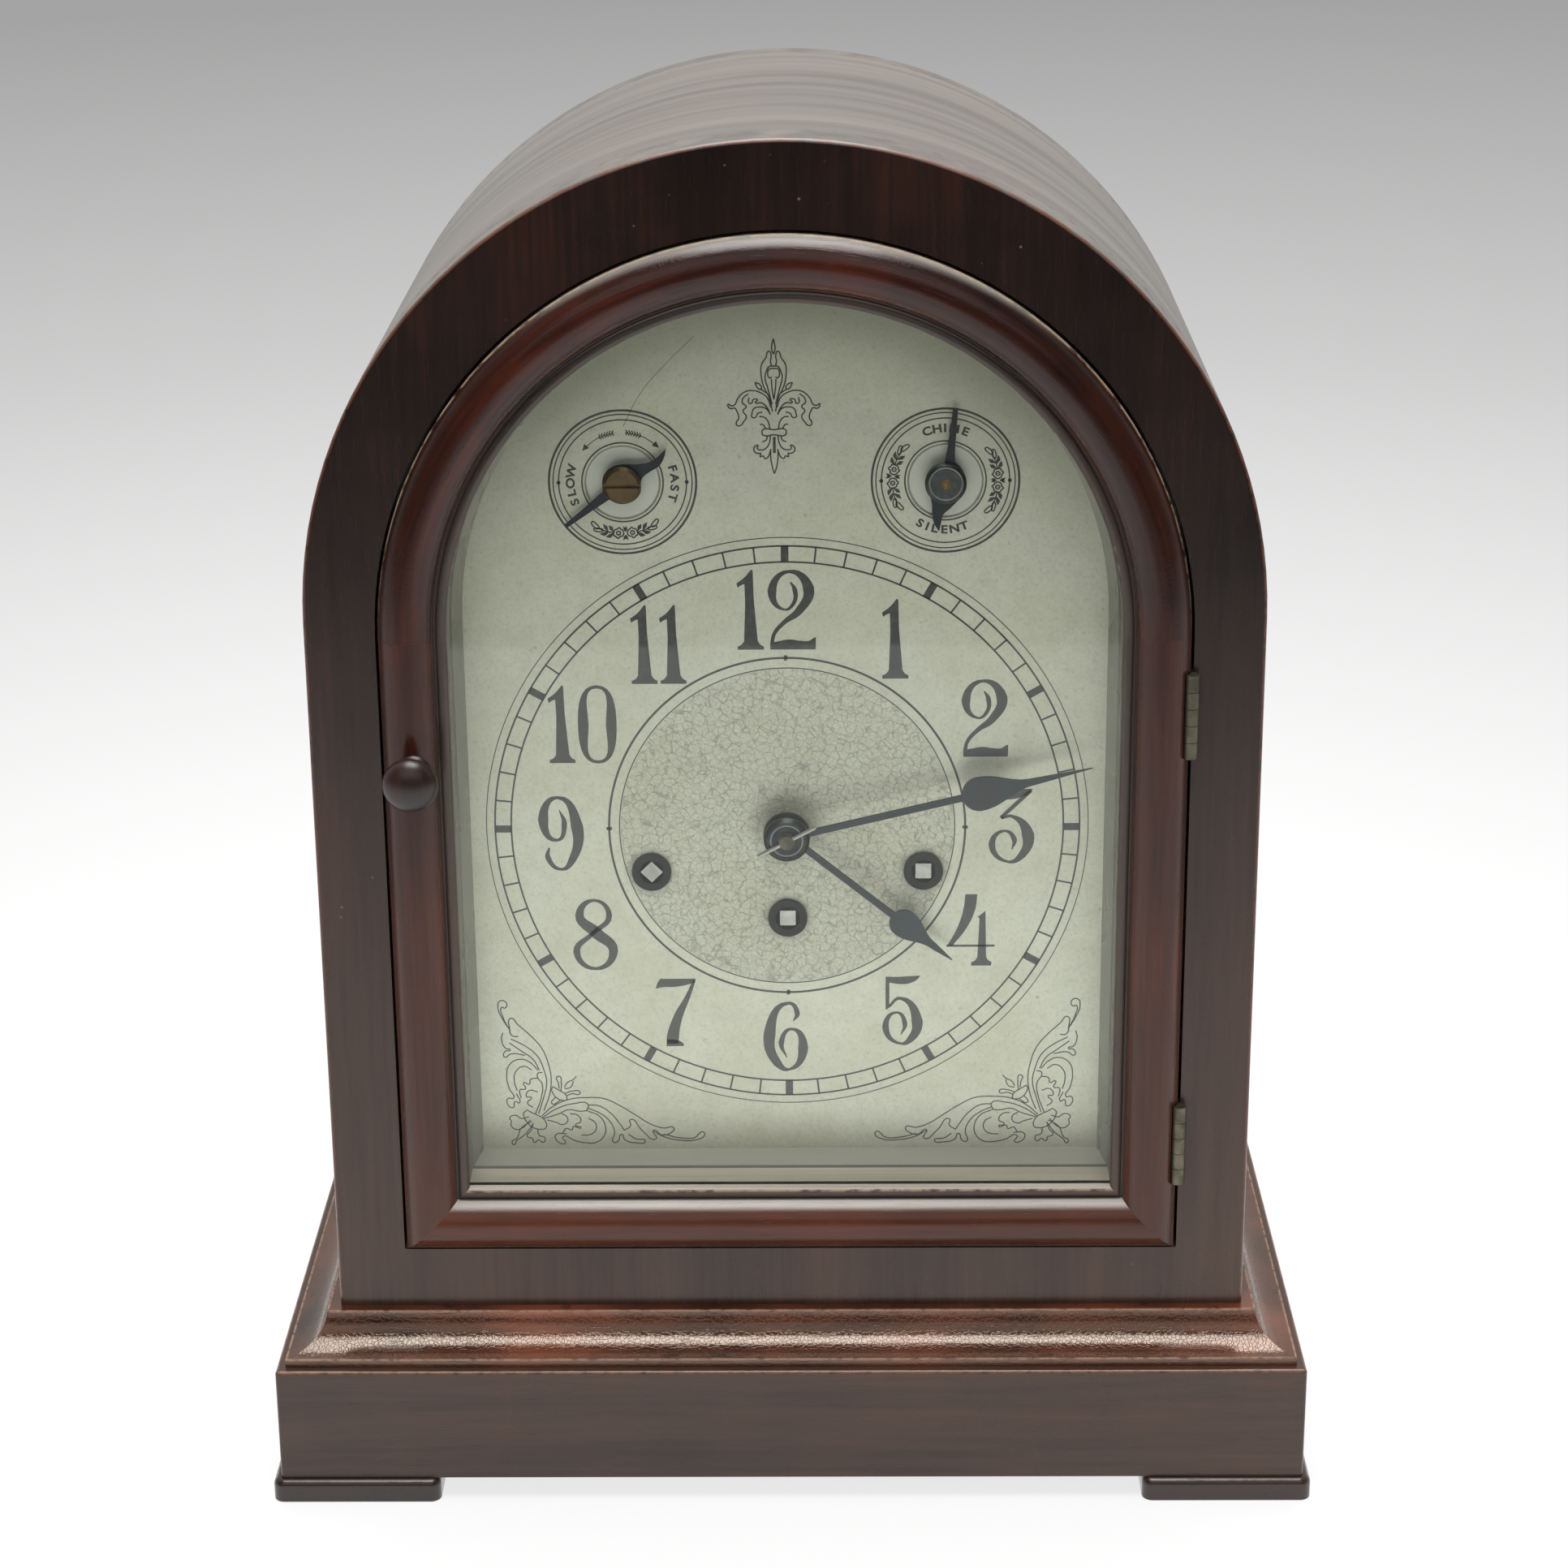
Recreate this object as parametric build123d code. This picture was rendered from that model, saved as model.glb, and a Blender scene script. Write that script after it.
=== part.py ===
from build123d import *

import math
import os

# A round-top mantel clock with three trains, quarter chimes on rods and a glazed front door.
# Millimetres. X runs to the right, Y to the back and Z up, and the origin lies on the ground
# under the middle of the case. Depths are counted from the front face of the case to the back.

# Fits and clearances
RUNNING_FIT = 0.05
FIXED_FIT = 0.03
GLASS_FIT = 0.3

# Base
FOOT_HEIGHT = 6.8
FOOT_LENGTH = 48.0
FOOT_PROJECTION = 2.2
FOOT_END_ROUND = 3.0
FOOT_TOP_ROUND = 2.0
FOOT_BASE_ROUND = 0.5
PLINTH_HEIGHT = 33.9
PLINTH_PROJECTION = 17.15
PLINTH_RAIL = 34.0
PLINTH_ROUND = 1.0
MOULDING_HEIGHT = 12.3
MOULDING_LIP = 14.4
MOULDING_LIP_HEIGHT = 2.6
MOULDING_TOP = 3.5
MOULDING_TOP_HEIGHT = 1.0
MOULDING_BEARING = 10.85

# Case
CASE_WIDTH = 257.7
SIDE_HEIGHT = 203.5
CASE_WALL = 9.0
CASE_EDGE_ROUND = 1.2
FRONT_THICKNESS = 14.5
FRONT_STILE = 19.25
FRONT_RAIL = 17.8
DOOR_ARCH_DROP = 4.2
BACK_THICKNESS = 10.0
BACK_STILE = 33.0
BACK_RAIL = 22.0
BACK_ROOM = 13.1

# Front door
DOOR_GAP = 0.9
DOOR_BACK_GAP = 1.0
DOOR_EDGE_PROUD = 0.9
DOOR_CROWN_PROUD = 5.6
DOOR_CROWN_WIDTH = 14.6
DOOR_QUIRK_DEPTH = 0.4
DOOR_QUIRK_WIDTH = 0.6
DOOR_BEAD_PROUD = 1.0
DOOR_BEAD_WIDTH = 3.0
GLASS_REBATE = 4.8
GLASS_FRONT = 2.0
GLASS_THICKNESS = 2.5
GLAZING_BEAD_DEPTH = 8.8
GLAZING_BEAD_SETBACK = 0.3
KNOB_DROP = 36.3
KNOB_INSET = 8.5
KNOB_RADIUS = 7.5
KNOB_NECK_RADIUS = 4.0
KNOB_TENON_RADIUS = 3.0
KNOB_TENON_BACK = 4.0
KNOB_LENGTH = 13.4
KNOB_DOME = 4.6
KNOB_FLARE = 1.2
KNOB_UNDERCUT = 1.4

# Butt hinges of the front and back doors
HINGE_LENGTH = 23.5
HINGE_RADIUS = 2.0
HINGE_PROUD = 2.3
HINGE_KNUCKLE_COUNT = 5
HINGE_KNUCKLE_GAP = 0.15
HINGE_KNUCKLE_ROOM = 0.35
HINGE_PIN_RADIUS = 0.95
LEAF_WIDTH = 12.0
LEAF_THICKNESS = 0.9
LEAF_SETBACK = 0.1
HINGE_SCREW_RADIUS = 0.9
HINGE_SCREW_LENGTH = 6.0
HINGE_SCREW_MARGIN = 4.75
HINGE_SCREW_INSET = 4.6
FRONT_HINGE_RISE = 32.3
FRONT_HINGE_DROP = 22.0

# Back door
BACK_DOOR_GAP = 1.0
BACK_HINGE_RISE = 37.0
BACK_HINGE_DROP = 39.3
BACK_KNOB_RADIUS = 6.0
BACK_KNOB_NECK = 3.0
BACK_KNOB_TENON = 2.0
BACK_KNOB_PROUD = 12.0
BACK_KNOB_CHAMFER = 1.8
BACK_KNOB_INSET = 12.0
BACK_KNOB_RISE = 87.0

# Dial
DIAL_HEIGHT = 137.4
DIAL_THICKNESS = 1.6
DIAL_OVERLAP = 3.8
SURROUND_THICKNESS = 6.5
SURROUND_SPLAY = 2.3
SURROUND_FIT = 0.2
DIAL_HOLE_ROOM = 0.6
DIAL_FOOT_LENGTH = 11.4
DIAL_FOOT_RADIUS = 3.0
DIAL_FOOT_TENON = 2.0
DIAL_FOOT_INSET = 6.0
DIAL_FOOT_DROP = 12.6
DIAL_FOOT_RISE = 17.4
COLLAR_FLANGE = 1.1
COLLAR_WALL = 1.0
COLLAR_PROUD = 0.8
SUBDIAL_INSET = 30.77
SUBDIAL_ANGLE = 49.24

# Hands, with angles counted clockwise from twelve
HAND_THICKNESS = 1.0
HAND_STEM = 1.8
HAND_SPACING = 2.0
HAND_HUB_RIM = 2.5
MINUTE_ANGLE = 76.5
MINUTE_LENGTH = 86.5
MINUTE_BULB = (49.8, 70.0)
MINUTE_BULB_WIDTH = 9.6
HOUR_ANGLE = 129.3
HOUR_LENGTH = 59.6
HOUR_BULB = (37.9, 53.0)
HOUR_BULB_WIDTH = 8.0
HOUR_HAND_GAP = 5.0
COLLET_RADIUS = 6.35
COLLET_HEIGHT = 1.8
COLLET_CHAMFER = 1.0
PIN_RADIUS = 0.6
PIN_LENGTH = 18.0
PIN_ANGLE = 62.0
ARBOR_TIP = 0.6
INDEX_THICKNESS = 0.6
INDEX_GAP = 1.8
INDEX_HUB = 3.2
INDEX_POINTER_WIDTH = 3.4
INDEX_TIP_WIDTH = 1.2
INDEX_LEAF_LEFT = 2.2
INDEX_LEAF_RIGHT = 1.5
INDEX_ARBOR = 2.0
INDEX_HEAD_PROUD = 2.0
INDEX_HEAD_CHAMFER = 0.8
INDEX_COLLAR = 5.0
INDEX_COLLAR_THICKNESS = 2.0
INDEX_PLAY = 0.3
REGULATOR_ANGLE = 233.0
REGULATOR_TIP = 19.5
REGULATOR_TAIL = 15.0
REGULATOR_TAIL_LEAN = 1.1
REGULATOR_HEAD = 5.1
REGULATOR_SLOT = 1.2
REGULATOR_SLOT_ANGLE = 90.0
CHIME_ANGLE = 8.0
CHIME_TIP = 20.4
CHIME_TAIL = 14.2
CHIME_TAIL_LEAN = -0.1
CHIME_HEAD = 5.6
CHIME_LEVER = 26.0

# Movement plates and the board that they stand on
PLATE_THICKNESS = 2.5
PLATE_SIDE = 15.0
PLATE_BELOW = 82.4
PLATE_MARGIN = 15.2
PLATE_CORNER = 4.0
PILLAR_RADIUS = 4.5
PILLAR_INSET = 10.0
PILLAR_LIFT = 6.0
SCREW_RADIUS = 2.0
SCREW_HEAD_RADIUS = 4.0
SCREW_HEAD = 2.5
SCREW_GRIP = 8.0
SEAT_THICKNESS = 8.0
SEAT_OVERHANG_FRONT = 4.0
SEAT_OVERHANG_BACK = 1.5
CLEAT_WIDTH = 12.0
CLEAT_HEIGHT = 20.0

# Trains: tooth counts, modules and directions
GREAT_TEETH = 72
GREAT_PINION_TEETH = 12
GREAT_MODULE = 0.64
CENTRE_TEETH = 84
THIRD_TEETH = 70
TRAIN_PINION_TEETH = 7
TRAIN_MODULE = 0.40
CANNON_TEETH = 20
MINUTE_TEETH = 60
MINUTE_PINION_TEETH = 16
HOUR_TEETH = 64
MOTION_MODULE = 0.50
ESCAPE_TEETH = 42
ESCAPE_TOOTH = 1.8
ESCAPE_CLEARANCE = 0.9
SAW_RAKE_RATIO = 0.15
THIRD_DIRECTION = -40.0
SIDE_WINDER_DROP = 12.9
BARREL_GAP = 4.49
DRUM_DIRECTION = 151.0

# Wheels and arbors, with the room between them along the depth
GREAT_THICKNESS = 2.2
GREAT_GAP = 1.5
WHEEL_THICKNESS = 1.4
WHEEL_GAP = 0.8
WHEEL_RIM = 2.4
SPOKE_COUNT = 4
SPOKE_WIDTH = 3.0
HUB_RADIUS = 3.6
HUB_RIM = 1.5
PINION_OVERHANG = 0.6
THIRD_STEP = 11.0
ESCAPE_STEP = 8.0
ESCAPE_ROOM = 8.0
MOTION_GAP = 3.6
MOTION_STEP = 3.0
ARBOR_RADIUS = 1.5
CENTRE_ARBOR = 2.0
PIVOT_RADIUS = 1.0
CANNON_WALL = 1.0
HOUR_WALL = 1.0
STUD_RADIUS = 1.5

# Barrels and winding
BARREL_RADIUS = 18.0
BARREL_LENGTH = 22.0
BARREL_WALL = 1.2
BARREL_END = 1.5
GOING_NECK = 1.8
SIDE_NECK = 1.0
NECK_RADIUS = 9.0
WINDER_SQUARE = 4.4
STRIKE_SQUARE_ANGLE = 45.0
WINDER_SHOULDER = 0.09
WINDER_HUB_RIM = 1.8
WINDER_PIVOT = 1.5
WINDER_PROUD = 0.4
WINDER_KEY_ROOM = 0.29
RATCHET_RADIUS = 9.0
RATCHET_TEETH = 20
RATCHET_TOOTH = 1.4
RATCHET_THICKNESS = 2.2
RATCHET_GAP = 0.8
CLICK_LENGTH = 6.0
CLICK_WIDTH = 3.0
CLICK_GAP = 0.4
GOING_CLICK_ANGLE = 180.0
SIDE_CLICK_ANGLE = 45.0

# Pendulum and its escapement. A pallet arm's corners give the distance outside the pallets'
# circle and the angle from twelve about the escape arbor.
ANCHOR_GAP = 5.4
ANCHOR_HUB = 3.5
ANCHOR_THICKNESS = 2.8
PALLET_CLEARANCE = 1.7
PALLET_ARM = ((4.6, 46.0), (0.6, 56.0), (0.0, 45.0), (2.4, 40.0))
CRUTCH_GAP = 2.5
CRUTCH_THICKNESS = 1.5
CRUTCH_WIDTH = 3.0
CRUTCH_LENGTH = 46.0
CRUTCH_FORK = 1.2
FORK_HEIGHT = 4.0
COCK_SPACE = 3.5
COCK_THICKNESS = 3.5
COCK_POST = 16.0
COCK_OVERHANG = 4.0
COCK_GAP = 0.2
SUSPENSION_GAP = 0.6
SUSPENSION_BLOCK = 4.2
SUSPENSION_LENGTH = 16.0
SUSPENSION_STRIP = 0.6
PENDULUM_LENGTH = 122.0
PENDULUM_ROD = 1.5
BOB_RADIUS = 15.0
BOB_THICKNESS = 8.0
BOB_EDGE = 1.0
NUT_RADIUS = 5.0
NUT_HEIGHT = 4.0
NUT_GAP = 0.2
ROD_END = 3.0

# Strike and chime
STRIKE_DISC_RADIUS = 13.0
STRIKE_PIN_COUNT = 8
STRIKE_PIN_INSET = 1.8
STRIKE_PIN_LENGTH = 2.8
HAMMER_COUNT = 4
HAMMER_GAP = 13.5
HAMMER_SPACING = 10.0
HAMMER_PIVOT_SIDE = 13.0
HAMMER_PIVOT_RISE = 12.0
HAMMER_HEAD_ROOM = 14.05
HAMMER_HEAD_RADIUS = 4.0
HAMMER_HEAD_HEIGHT = 12.0
HAMMER_ARM = 3.0
HAMMER_ARM_THICKNESS = 2.2
HAMMER_COLLAR = 3.4
HAMMER_COLLAR_LENGTH = 6.0
HAMMER_REST_GAP = 2.0
HAMMER_TAIL_GAP = 3.8
HAMMER_TAIL_DIRECTION = 228.0
HAMMER_ROD = 1.5
DRUM_RADIUS = 10.0
DRUM_PIN_HEIGHT = 1.5
DRUM_PIN_RADIUS = 0.6
DRUM_PIN_COUNT = 4
BRIDGE_GAP = 11.0
BRIDGE_THICKNESS = 2.5
BRIDGE_POST = 3.0
BRIDGE_BOSS = 4.5
BRIDGE_POST_STEPS = ((-18.0, 6.0), (14.0, -16.0))
GONG_LENGTHS = (186.0, 172.0, 160.0, 149.0)
GONG_RADIUS = 1.5
GONG_DROP = 14.5
GONG_SEAT = 6.0
GONG_BLOCK_WIDTH = 14.0
GONG_BLOCK_ABOVE = 12.0
GONG_BLOCK_MARGIN = 8.0
GONG_BLOCK_CLEARANCE = 13.8

# Heights and half widths worked out from the driving dimensions
CASE_HALF = CASE_WIDTH / 2
INNER_HALF = CASE_HALF - CASE_WALL
PLINTH_TOP = FOOT_HEIGHT + PLINTH_HEIGHT
CASE_BASE = PLINTH_TOP + MOULDING_HEIGHT
SPRING = CASE_BASE + SIDE_HEIGHT
DOOR_SPRING = SPRING - DOOR_ARCH_DROP
DOOR_RAIL = DOOR_CROWN_WIDTH + DOOR_QUIRK_WIDTH + DOOR_BEAD_WIDTH
OPENING_HALF = CASE_HALF - FRONT_STILE
OPENING_BASE = CASE_BASE + FRONT_RAIL
DOOR_HALF = OPENING_HALF - DOOR_GAP
DOOR_BASE = OPENING_BASE + DOOR_GAP
SIGHT_HALF = DOOR_HALF - DOOR_RAIL
SIGHT_BASE = DOOR_BASE + DOOR_RAIL
BACK_OPENING_HALF = CASE_HALF - BACK_STILE
BACK_OPENING_BASE = CASE_BASE + BACK_RAIL
BACK_DOOR_HALF = BACK_OPENING_HALF - BACK_DOOR_GAP
BACK_DOOR_BASE = BACK_OPENING_BASE + BACK_DOOR_GAP
DIAL_OPENING_HALF = SIGHT_HALF - SURROUND_SPLAY
DIAL_OPENING_BASE = SIGHT_BASE + SURROUND_SPLAY
DIAL_Z = CASE_BASE + DIAL_HEIGHT
SEAT_TOP = DIAL_Z - PLATE_BELOW

# Radii and centre distances worked out from the driving dimensions
CANNON_PIPE = CENTRE_ARBOR + CANNON_WALL
HOUR_PIPE = CANNON_PIPE + HOUR_WALL
DIAL_CENTRE_HOLE = HOUR_PIPE + DIAL_HOLE_ROOM
SQUARE_CORNER = WINDER_SQUARE * math.sqrt(0.5)
WINDER_RADIUS = SQUARE_CORNER + WINDER_SHOULDER
WINDER_HUB = WINDER_RADIUS + WINDER_HUB_RIM
COLLAR_BORE = SQUARE_CORNER + WINDER_KEY_ROOM
COLLAR_SLEEVE = COLLAR_BORE + COLLAR_WALL
COLLAR_RADIUS = COLLAR_SLEEVE + COLLAR_FLANGE
GREAT_REACH = (GREAT_TEETH + GREAT_PINION_TEETH) / 2 * GREAT_MODULE
THIRD_REACH = (CENTRE_TEETH + TRAIN_PINION_TEETH) / 2 * TRAIN_MODULE
ESCAPE_REACH = (THIRD_TEETH + TRAIN_PINION_TEETH) / 2 * TRAIN_MODULE
MOTION_REACH = (CANNON_TEETH + MINUTE_TEETH) / 2 * MOTION_MODULE
ESCAPE_RADIUS = ESCAPE_REACH - ARBOR_RADIUS - ESCAPE_CLEARANCE
SIDE_WINDER_X = math.sqrt((2 * BARREL_RADIUS + BARREL_GAP) ** 2 - (GREAT_REACH - SIDE_WINDER_DROP) ** 2)

# Depths worked out from the front to the back
DOOR_BACK = FRONT_THICKNESS - DOOR_BACK_GAP
KNOB_PROUD = DOOR_CROWN_PROUD + KNOB_LENGTH
DIAL_DEPTH = FRONT_THICKNESS + SURROUND_THICKNESS
DIAL_BACK = DIAL_DEPTH + DIAL_THICKNESS
HOUR_FRONT = DIAL_DEPTH - HOUR_HAND_GAP - HAND_THICKNESS
MINUTE_FRONT = HOUR_FRONT - HAND_SPACING - HAND_THICKNESS
COLLET_FRONT = MINUTE_FRONT - COLLET_HEIGHT
PIN_DEPTH = COLLET_FRONT - PIN_RADIUS
CENTRE_ARBOR_FRONT = PIN_DEPTH - PIN_RADIUS - ARBOR_TIP
INDEX_FRONT = DIAL_DEPTH - INDEX_GAP - INDEX_THICKNESS
WINDER_FRONT = DIAL_DEPTH - WINDER_PROUD
FRONT_PLATE_DEPTH = DIAL_BACK + DIAL_FOOT_LENGTH
FRONT_PLATE_BACK = FRONT_PLATE_DEPTH + PLATE_THICKNESS
RATCHET_DEPTH = FRONT_PLATE_DEPTH - RATCHET_GAP - RATCHET_THICKNESS
CANNON_DEPTH = FRONT_PLATE_DEPTH - MOTION_GAP - WHEEL_THICKNESS
HOUR_WHEEL_DEPTH = CANNON_DEPTH - MOTION_STEP - WHEEL_THICKNESS
GOING_GREAT_DEPTH = FRONT_PLATE_BACK + GREAT_GAP
BARREL_FRONT = GOING_GREAT_DEPTH + GREAT_THICKNESS + GOING_NECK
BARREL_BACK = BARREL_FRONT + BARREL_LENGTH
SIDE_GREAT_DEPTH = BARREL_BACK + SIDE_NECK
CENTRE_DEPTH = SIDE_GREAT_DEPTH + GREAT_THICKNESS + WHEEL_GAP
THIRD_DEPTH = CENTRE_DEPTH - THIRD_STEP
ESCAPE_DEPTH = CENTRE_DEPTH + ESCAPE_STEP
ANCHOR_DEPTH = ESCAPE_DEPTH + (WHEEL_THICKNESS - ANCHOR_THICKNESS) / 2
BACK_PLATE_DEPTH = ESCAPE_DEPTH + ESCAPE_ROOM
BACK_PLATE_BACK = BACK_PLATE_DEPTH + PLATE_THICKNESS
CRUTCH_DEPTH = BACK_PLATE_BACK + CRUTCH_GAP
COCK_DEPTH = CRUTCH_DEPTH + CRUTCH_THICKNESS + COCK_SPACE
COCK_BACK = COCK_DEPTH + COCK_THICKNESS
PENDULUM_DEPTH = COCK_BACK + SUSPENSION_GAP + SUSPENSION_BLOCK / 2
HAMMER_DEPTH = BACK_PLATE_BACK + HAMMER_GAP
BRIDGE_DEPTH = HAMMER_DEPTH + (HAMMER_COUNT - 1) * HAMMER_SPACING + BRIDGE_GAP
CASE_DEPTH = BRIDGE_DEPTH + BRIDGE_THICKNESS + BACK_ROOM + BACK_THICKNESS
DEPTH_HALF = CASE_DEPTH / 2

# Proportions of the gear teeth, in modules and in shares of the pitch
WHEEL_TOOTH = {"addendum": 0.85, "dedendum": 1.05, "root": 0.46, "pitch": 0.40, "tip": 0.16}
PINION_LEAF = {"addendum": 0.55, "dedendum": 1.25, "root": 0.30, "pitch": 0.32, "tip": 0.16}


def at_depth(depth):
    """Y of a depth counted from the front face of the case."""
    return depth - DEPTH_HALF


def polar(radius, degrees):
    """Point at a radius, with the angle counted clockwise from twelve o'clock."""
    angle = math.radians(degrees)
    return radius * math.sin(angle), radius * math.cos(angle)


def shifted(point, step):
    """A point moved by a step."""
    return point[0] + step[0], point[1] + step[1]


# Places of the arbors, as X and Z
HAND_CENTRE = (0.0, DIAL_Z)
GOING_WINDER = (0.0, DIAL_Z - GREAT_REACH)
STRIKE_WINDER = (-SIDE_WINDER_X, DIAL_Z - SIDE_WINDER_DROP)
CHIME_WINDER = (SIDE_WINDER_X, DIAL_Z - SIDE_WINDER_DROP)
THIRD_ARBOR = shifted(HAND_CENTRE, polar(THIRD_REACH, THIRD_DIRECTION))
ESCAPE_RISE = math.sqrt(ESCAPE_REACH**2 - THIRD_ARBOR[0] ** 2)
ESCAPE_ARBOR = (0.0, THIRD_ARBOR[1] + ESCAPE_RISE)
ANCHOR_ARBOR = shifted(ESCAPE_ARBOR, (0.0, ESCAPE_RADIUS + ANCHOR_GAP))
MINUTE_STUD = shifted(HAND_CENTRE, (0.0, MOTION_REACH))
DRUM_ARBOR = shifted(CHIME_WINDER, polar(GREAT_REACH, DRUM_DIRECTION))
STRIKE_ARBOR = shifted(STRIKE_WINDER, polar(GREAT_REACH, -DRUM_DIRECTION))
HAMMER_PIVOT = (DRUM_ARBOR[0] - HAMMER_PIVOT_SIDE, SEAT_TOP + HAMMER_PIVOT_RISE)
ARCH_CENTRE = (0.0, DOOR_SPRING)
REGULATOR_CENTRE = shifted(ARCH_CENTRE, polar(DIAL_OPENING_HALF - SUBDIAL_INSET, -SUBDIAL_ANGLE))
CHIME_CENTRE = shifted(ARCH_CENTRE, polar(DIAL_OPENING_HALF - SUBDIAL_INSET, SUBDIAL_ANGLE))
PLATE_HALF = DRUM_ARBOR[0] + PLATE_SIDE
PLATE_TOP = ANCHOR_ARBOR[1] + PLATE_MARGIN
PILLARS = [
    (side * (PLATE_HALF - PILLAR_INSET), level)
    for side in (-1, 1)
    for level in (SEAT_TOP + PILLAR_LIFT, PLATE_TOP - PILLAR_LIFT)
]
DIAL_FEET = [
    (side * (PLATE_HALF - DIAL_FOOT_INSET), level)
    for side in (-1, 1)
    for level in (SEAT_TOP + DIAL_FOOT_RISE, PLATE_TOP - DIAL_FOOT_DROP)
]
BRIDGE_POSTS = [shifted(DRUM_ARBOR, step) for step in BRIDGE_POST_STEPS]
BOB_Z = ANCHOR_ARBOR[1] - PENDULUM_LENGTH
NUT_TOP = BOB_Z - BOB_RADIUS - NUT_GAP
PENDULUM_FOOT = NUT_TOP - NUT_HEIGHT - ROD_END
GONG_Z = PENDULUM_FOOT - GONG_DROP
GONG_BLOCK_LEFT = INNER_HALF - GONG_BLOCK_CLEARANCE - GONG_BLOCK_WIDTH


# Building blocks
def slab(face, front, back):
    """Solid of a face drawn in X and Z, from one depth to another."""
    return extrude(Plane.XZ.offset(-at_depth(back)) * face, amount=back - front)


def rod(place, radius, front, back):
    """Round bar along the depth of the case."""
    return slab(Pos(*place) * Circle(radius), front, back)


def arch(half_width, base, spring):
    """Face with straight sides up to the spring line and a half circle above."""
    left = (-half_width, spring)
    right = (half_width, spring)
    outline = Polyline(right, (half_width, base), (-half_width, base), left)
    outline += ThreePointArc(left, (0, spring + half_width), right)
    return make_face(outline)


def turned(outline, place):
    """Solid turned about the depth axis at a place, from a closed outline of radius and depth."""
    face = make_face(Polyline(*[(radius, at_depth(depth)) for radius, depth in outline], close=True))
    return Pos(place[0], 0, place[1]) * revolve(face, axis=Axis.Y)


def bar(start, end, width):
    """Flat face of a given width between two points."""
    run = math.dist(start, end)
    across_x = -(end[1] - start[1]) / run * width / 2
    across_z = (end[0] - start[0]) / run * width / 2
    return make_face(
        Polyline(
            (start[0] + across_x, start[1] + across_z),
            (end[0] + across_x, end[1] + across_z),
            (end[0] - across_x, end[1] - across_z),
            (start[0] - across_x, start[1] - across_z),
            close=True,
        )
    )


def ring_of(step, count):
    """Face bounded by the points that step gives for each tooth number."""
    return make_face(Polyline(*[point for tooth in range(count) for point in step(tooth)], close=True))


def toothed(teeth, module, shape, phase):
    """Gear face with the middle of one tooth at the phase angle."""
    pitch = 360.0 / teeth
    pitch_radius = teeth * module / 2
    radii = {
        "root": pitch_radius - shape["dedendum"] * module,
        "pitch": pitch_radius,
        "tip": pitch_radius + shape["addendum"] * module,
    }
    corners = [(level, -1) for level in ("root", "pitch", "tip")]
    corners += [(level, 1) for level in ("tip", "pitch", "root")]

    def tooth_points(tooth):
        middle = phase + tooth * pitch
        return [polar(radii[level], middle + side * shape[level] * pitch / 2) for level, side in corners]

    return ring_of(tooth_points, teeth)


def wheel_face(teeth, module, towards):
    """Wheel with a tooth pointing towards the pinion that it drives."""
    return toothed(teeth, module, WHEEL_TOOTH, towards)


def pinion_face(teeth, module, towards):
    """Pinion with a gap pointing towards the wheel that it meets."""
    return toothed(teeth, module, PINION_LEAF, towards + 180.0 / teeth)


def direction(start, end):
    """Clockwise angle from twelve of the line between two places."""
    return math.degrees(math.atan2(end[0] - start[0], end[1] - start[1]))


def crossings(inner, outer):
    """Face of the windows between the spokes of a wheel."""
    windows = Circle(outer) - Circle(inner)
    for spoke in range(SPOKE_COUNT):
        turn = Rot(0, 0, 360.0 / SPOKE_COUNT * spoke)
        windows -= turn * Pos(0, outer / 2) * Rectangle(SPOKE_WIDTH, 2 * outer)
    return windows


def saw_face(teeth, tip, tooth):
    """Face of a ratchet or escape wheel with raked teeth."""
    pitch = 360.0 / teeth
    rake = SAW_RAKE_RATIO * pitch
    root = tip - tooth

    def tooth_points(number):
        start = number * pitch
        return [polar(root, start - rake), polar(tip, start), polar(root, start + pitch - 2 * rake)]

    return ring_of(tooth_points, teeth)


def group(solids):
    """Several separate solids as one node."""
    return Compound(children=[solid for shape in solids for solid in shape.solids()])


# Base
def moulding_outline(half):
    """Outline of the base moulding across the whole case, with a hollow on each side."""
    lip = half + MOULDING_LIP
    top = half + MOULDING_TOP
    lip_level = PLINTH_TOP + MOULDING_LIP_HEIGHT
    hollow_top = CASE_BASE - MOULDING_TOP_HEIGHT
    slant = math.sqrt(0.5)
    hollow_x = lip - (lip - top) * slant
    hollow_z = hollow_top - (hollow_top - lip_level) * slant
    outline = Polyline((-lip, lip_level), (-lip, PLINTH_TOP), (lip, PLINTH_TOP), (lip, lip_level))
    outline += ThreePointArc((lip, lip_level), (hollow_x, hollow_z), (top, hollow_top))
    outline += Polyline((top, hollow_top), (top, CASE_BASE), (-top, CASE_BASE), (-top, hollow_top))
    outline += ThreePointArc((-top, hollow_top), (-hollow_x, hollow_z), (-lip, lip_level))
    return make_face(outline)


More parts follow.
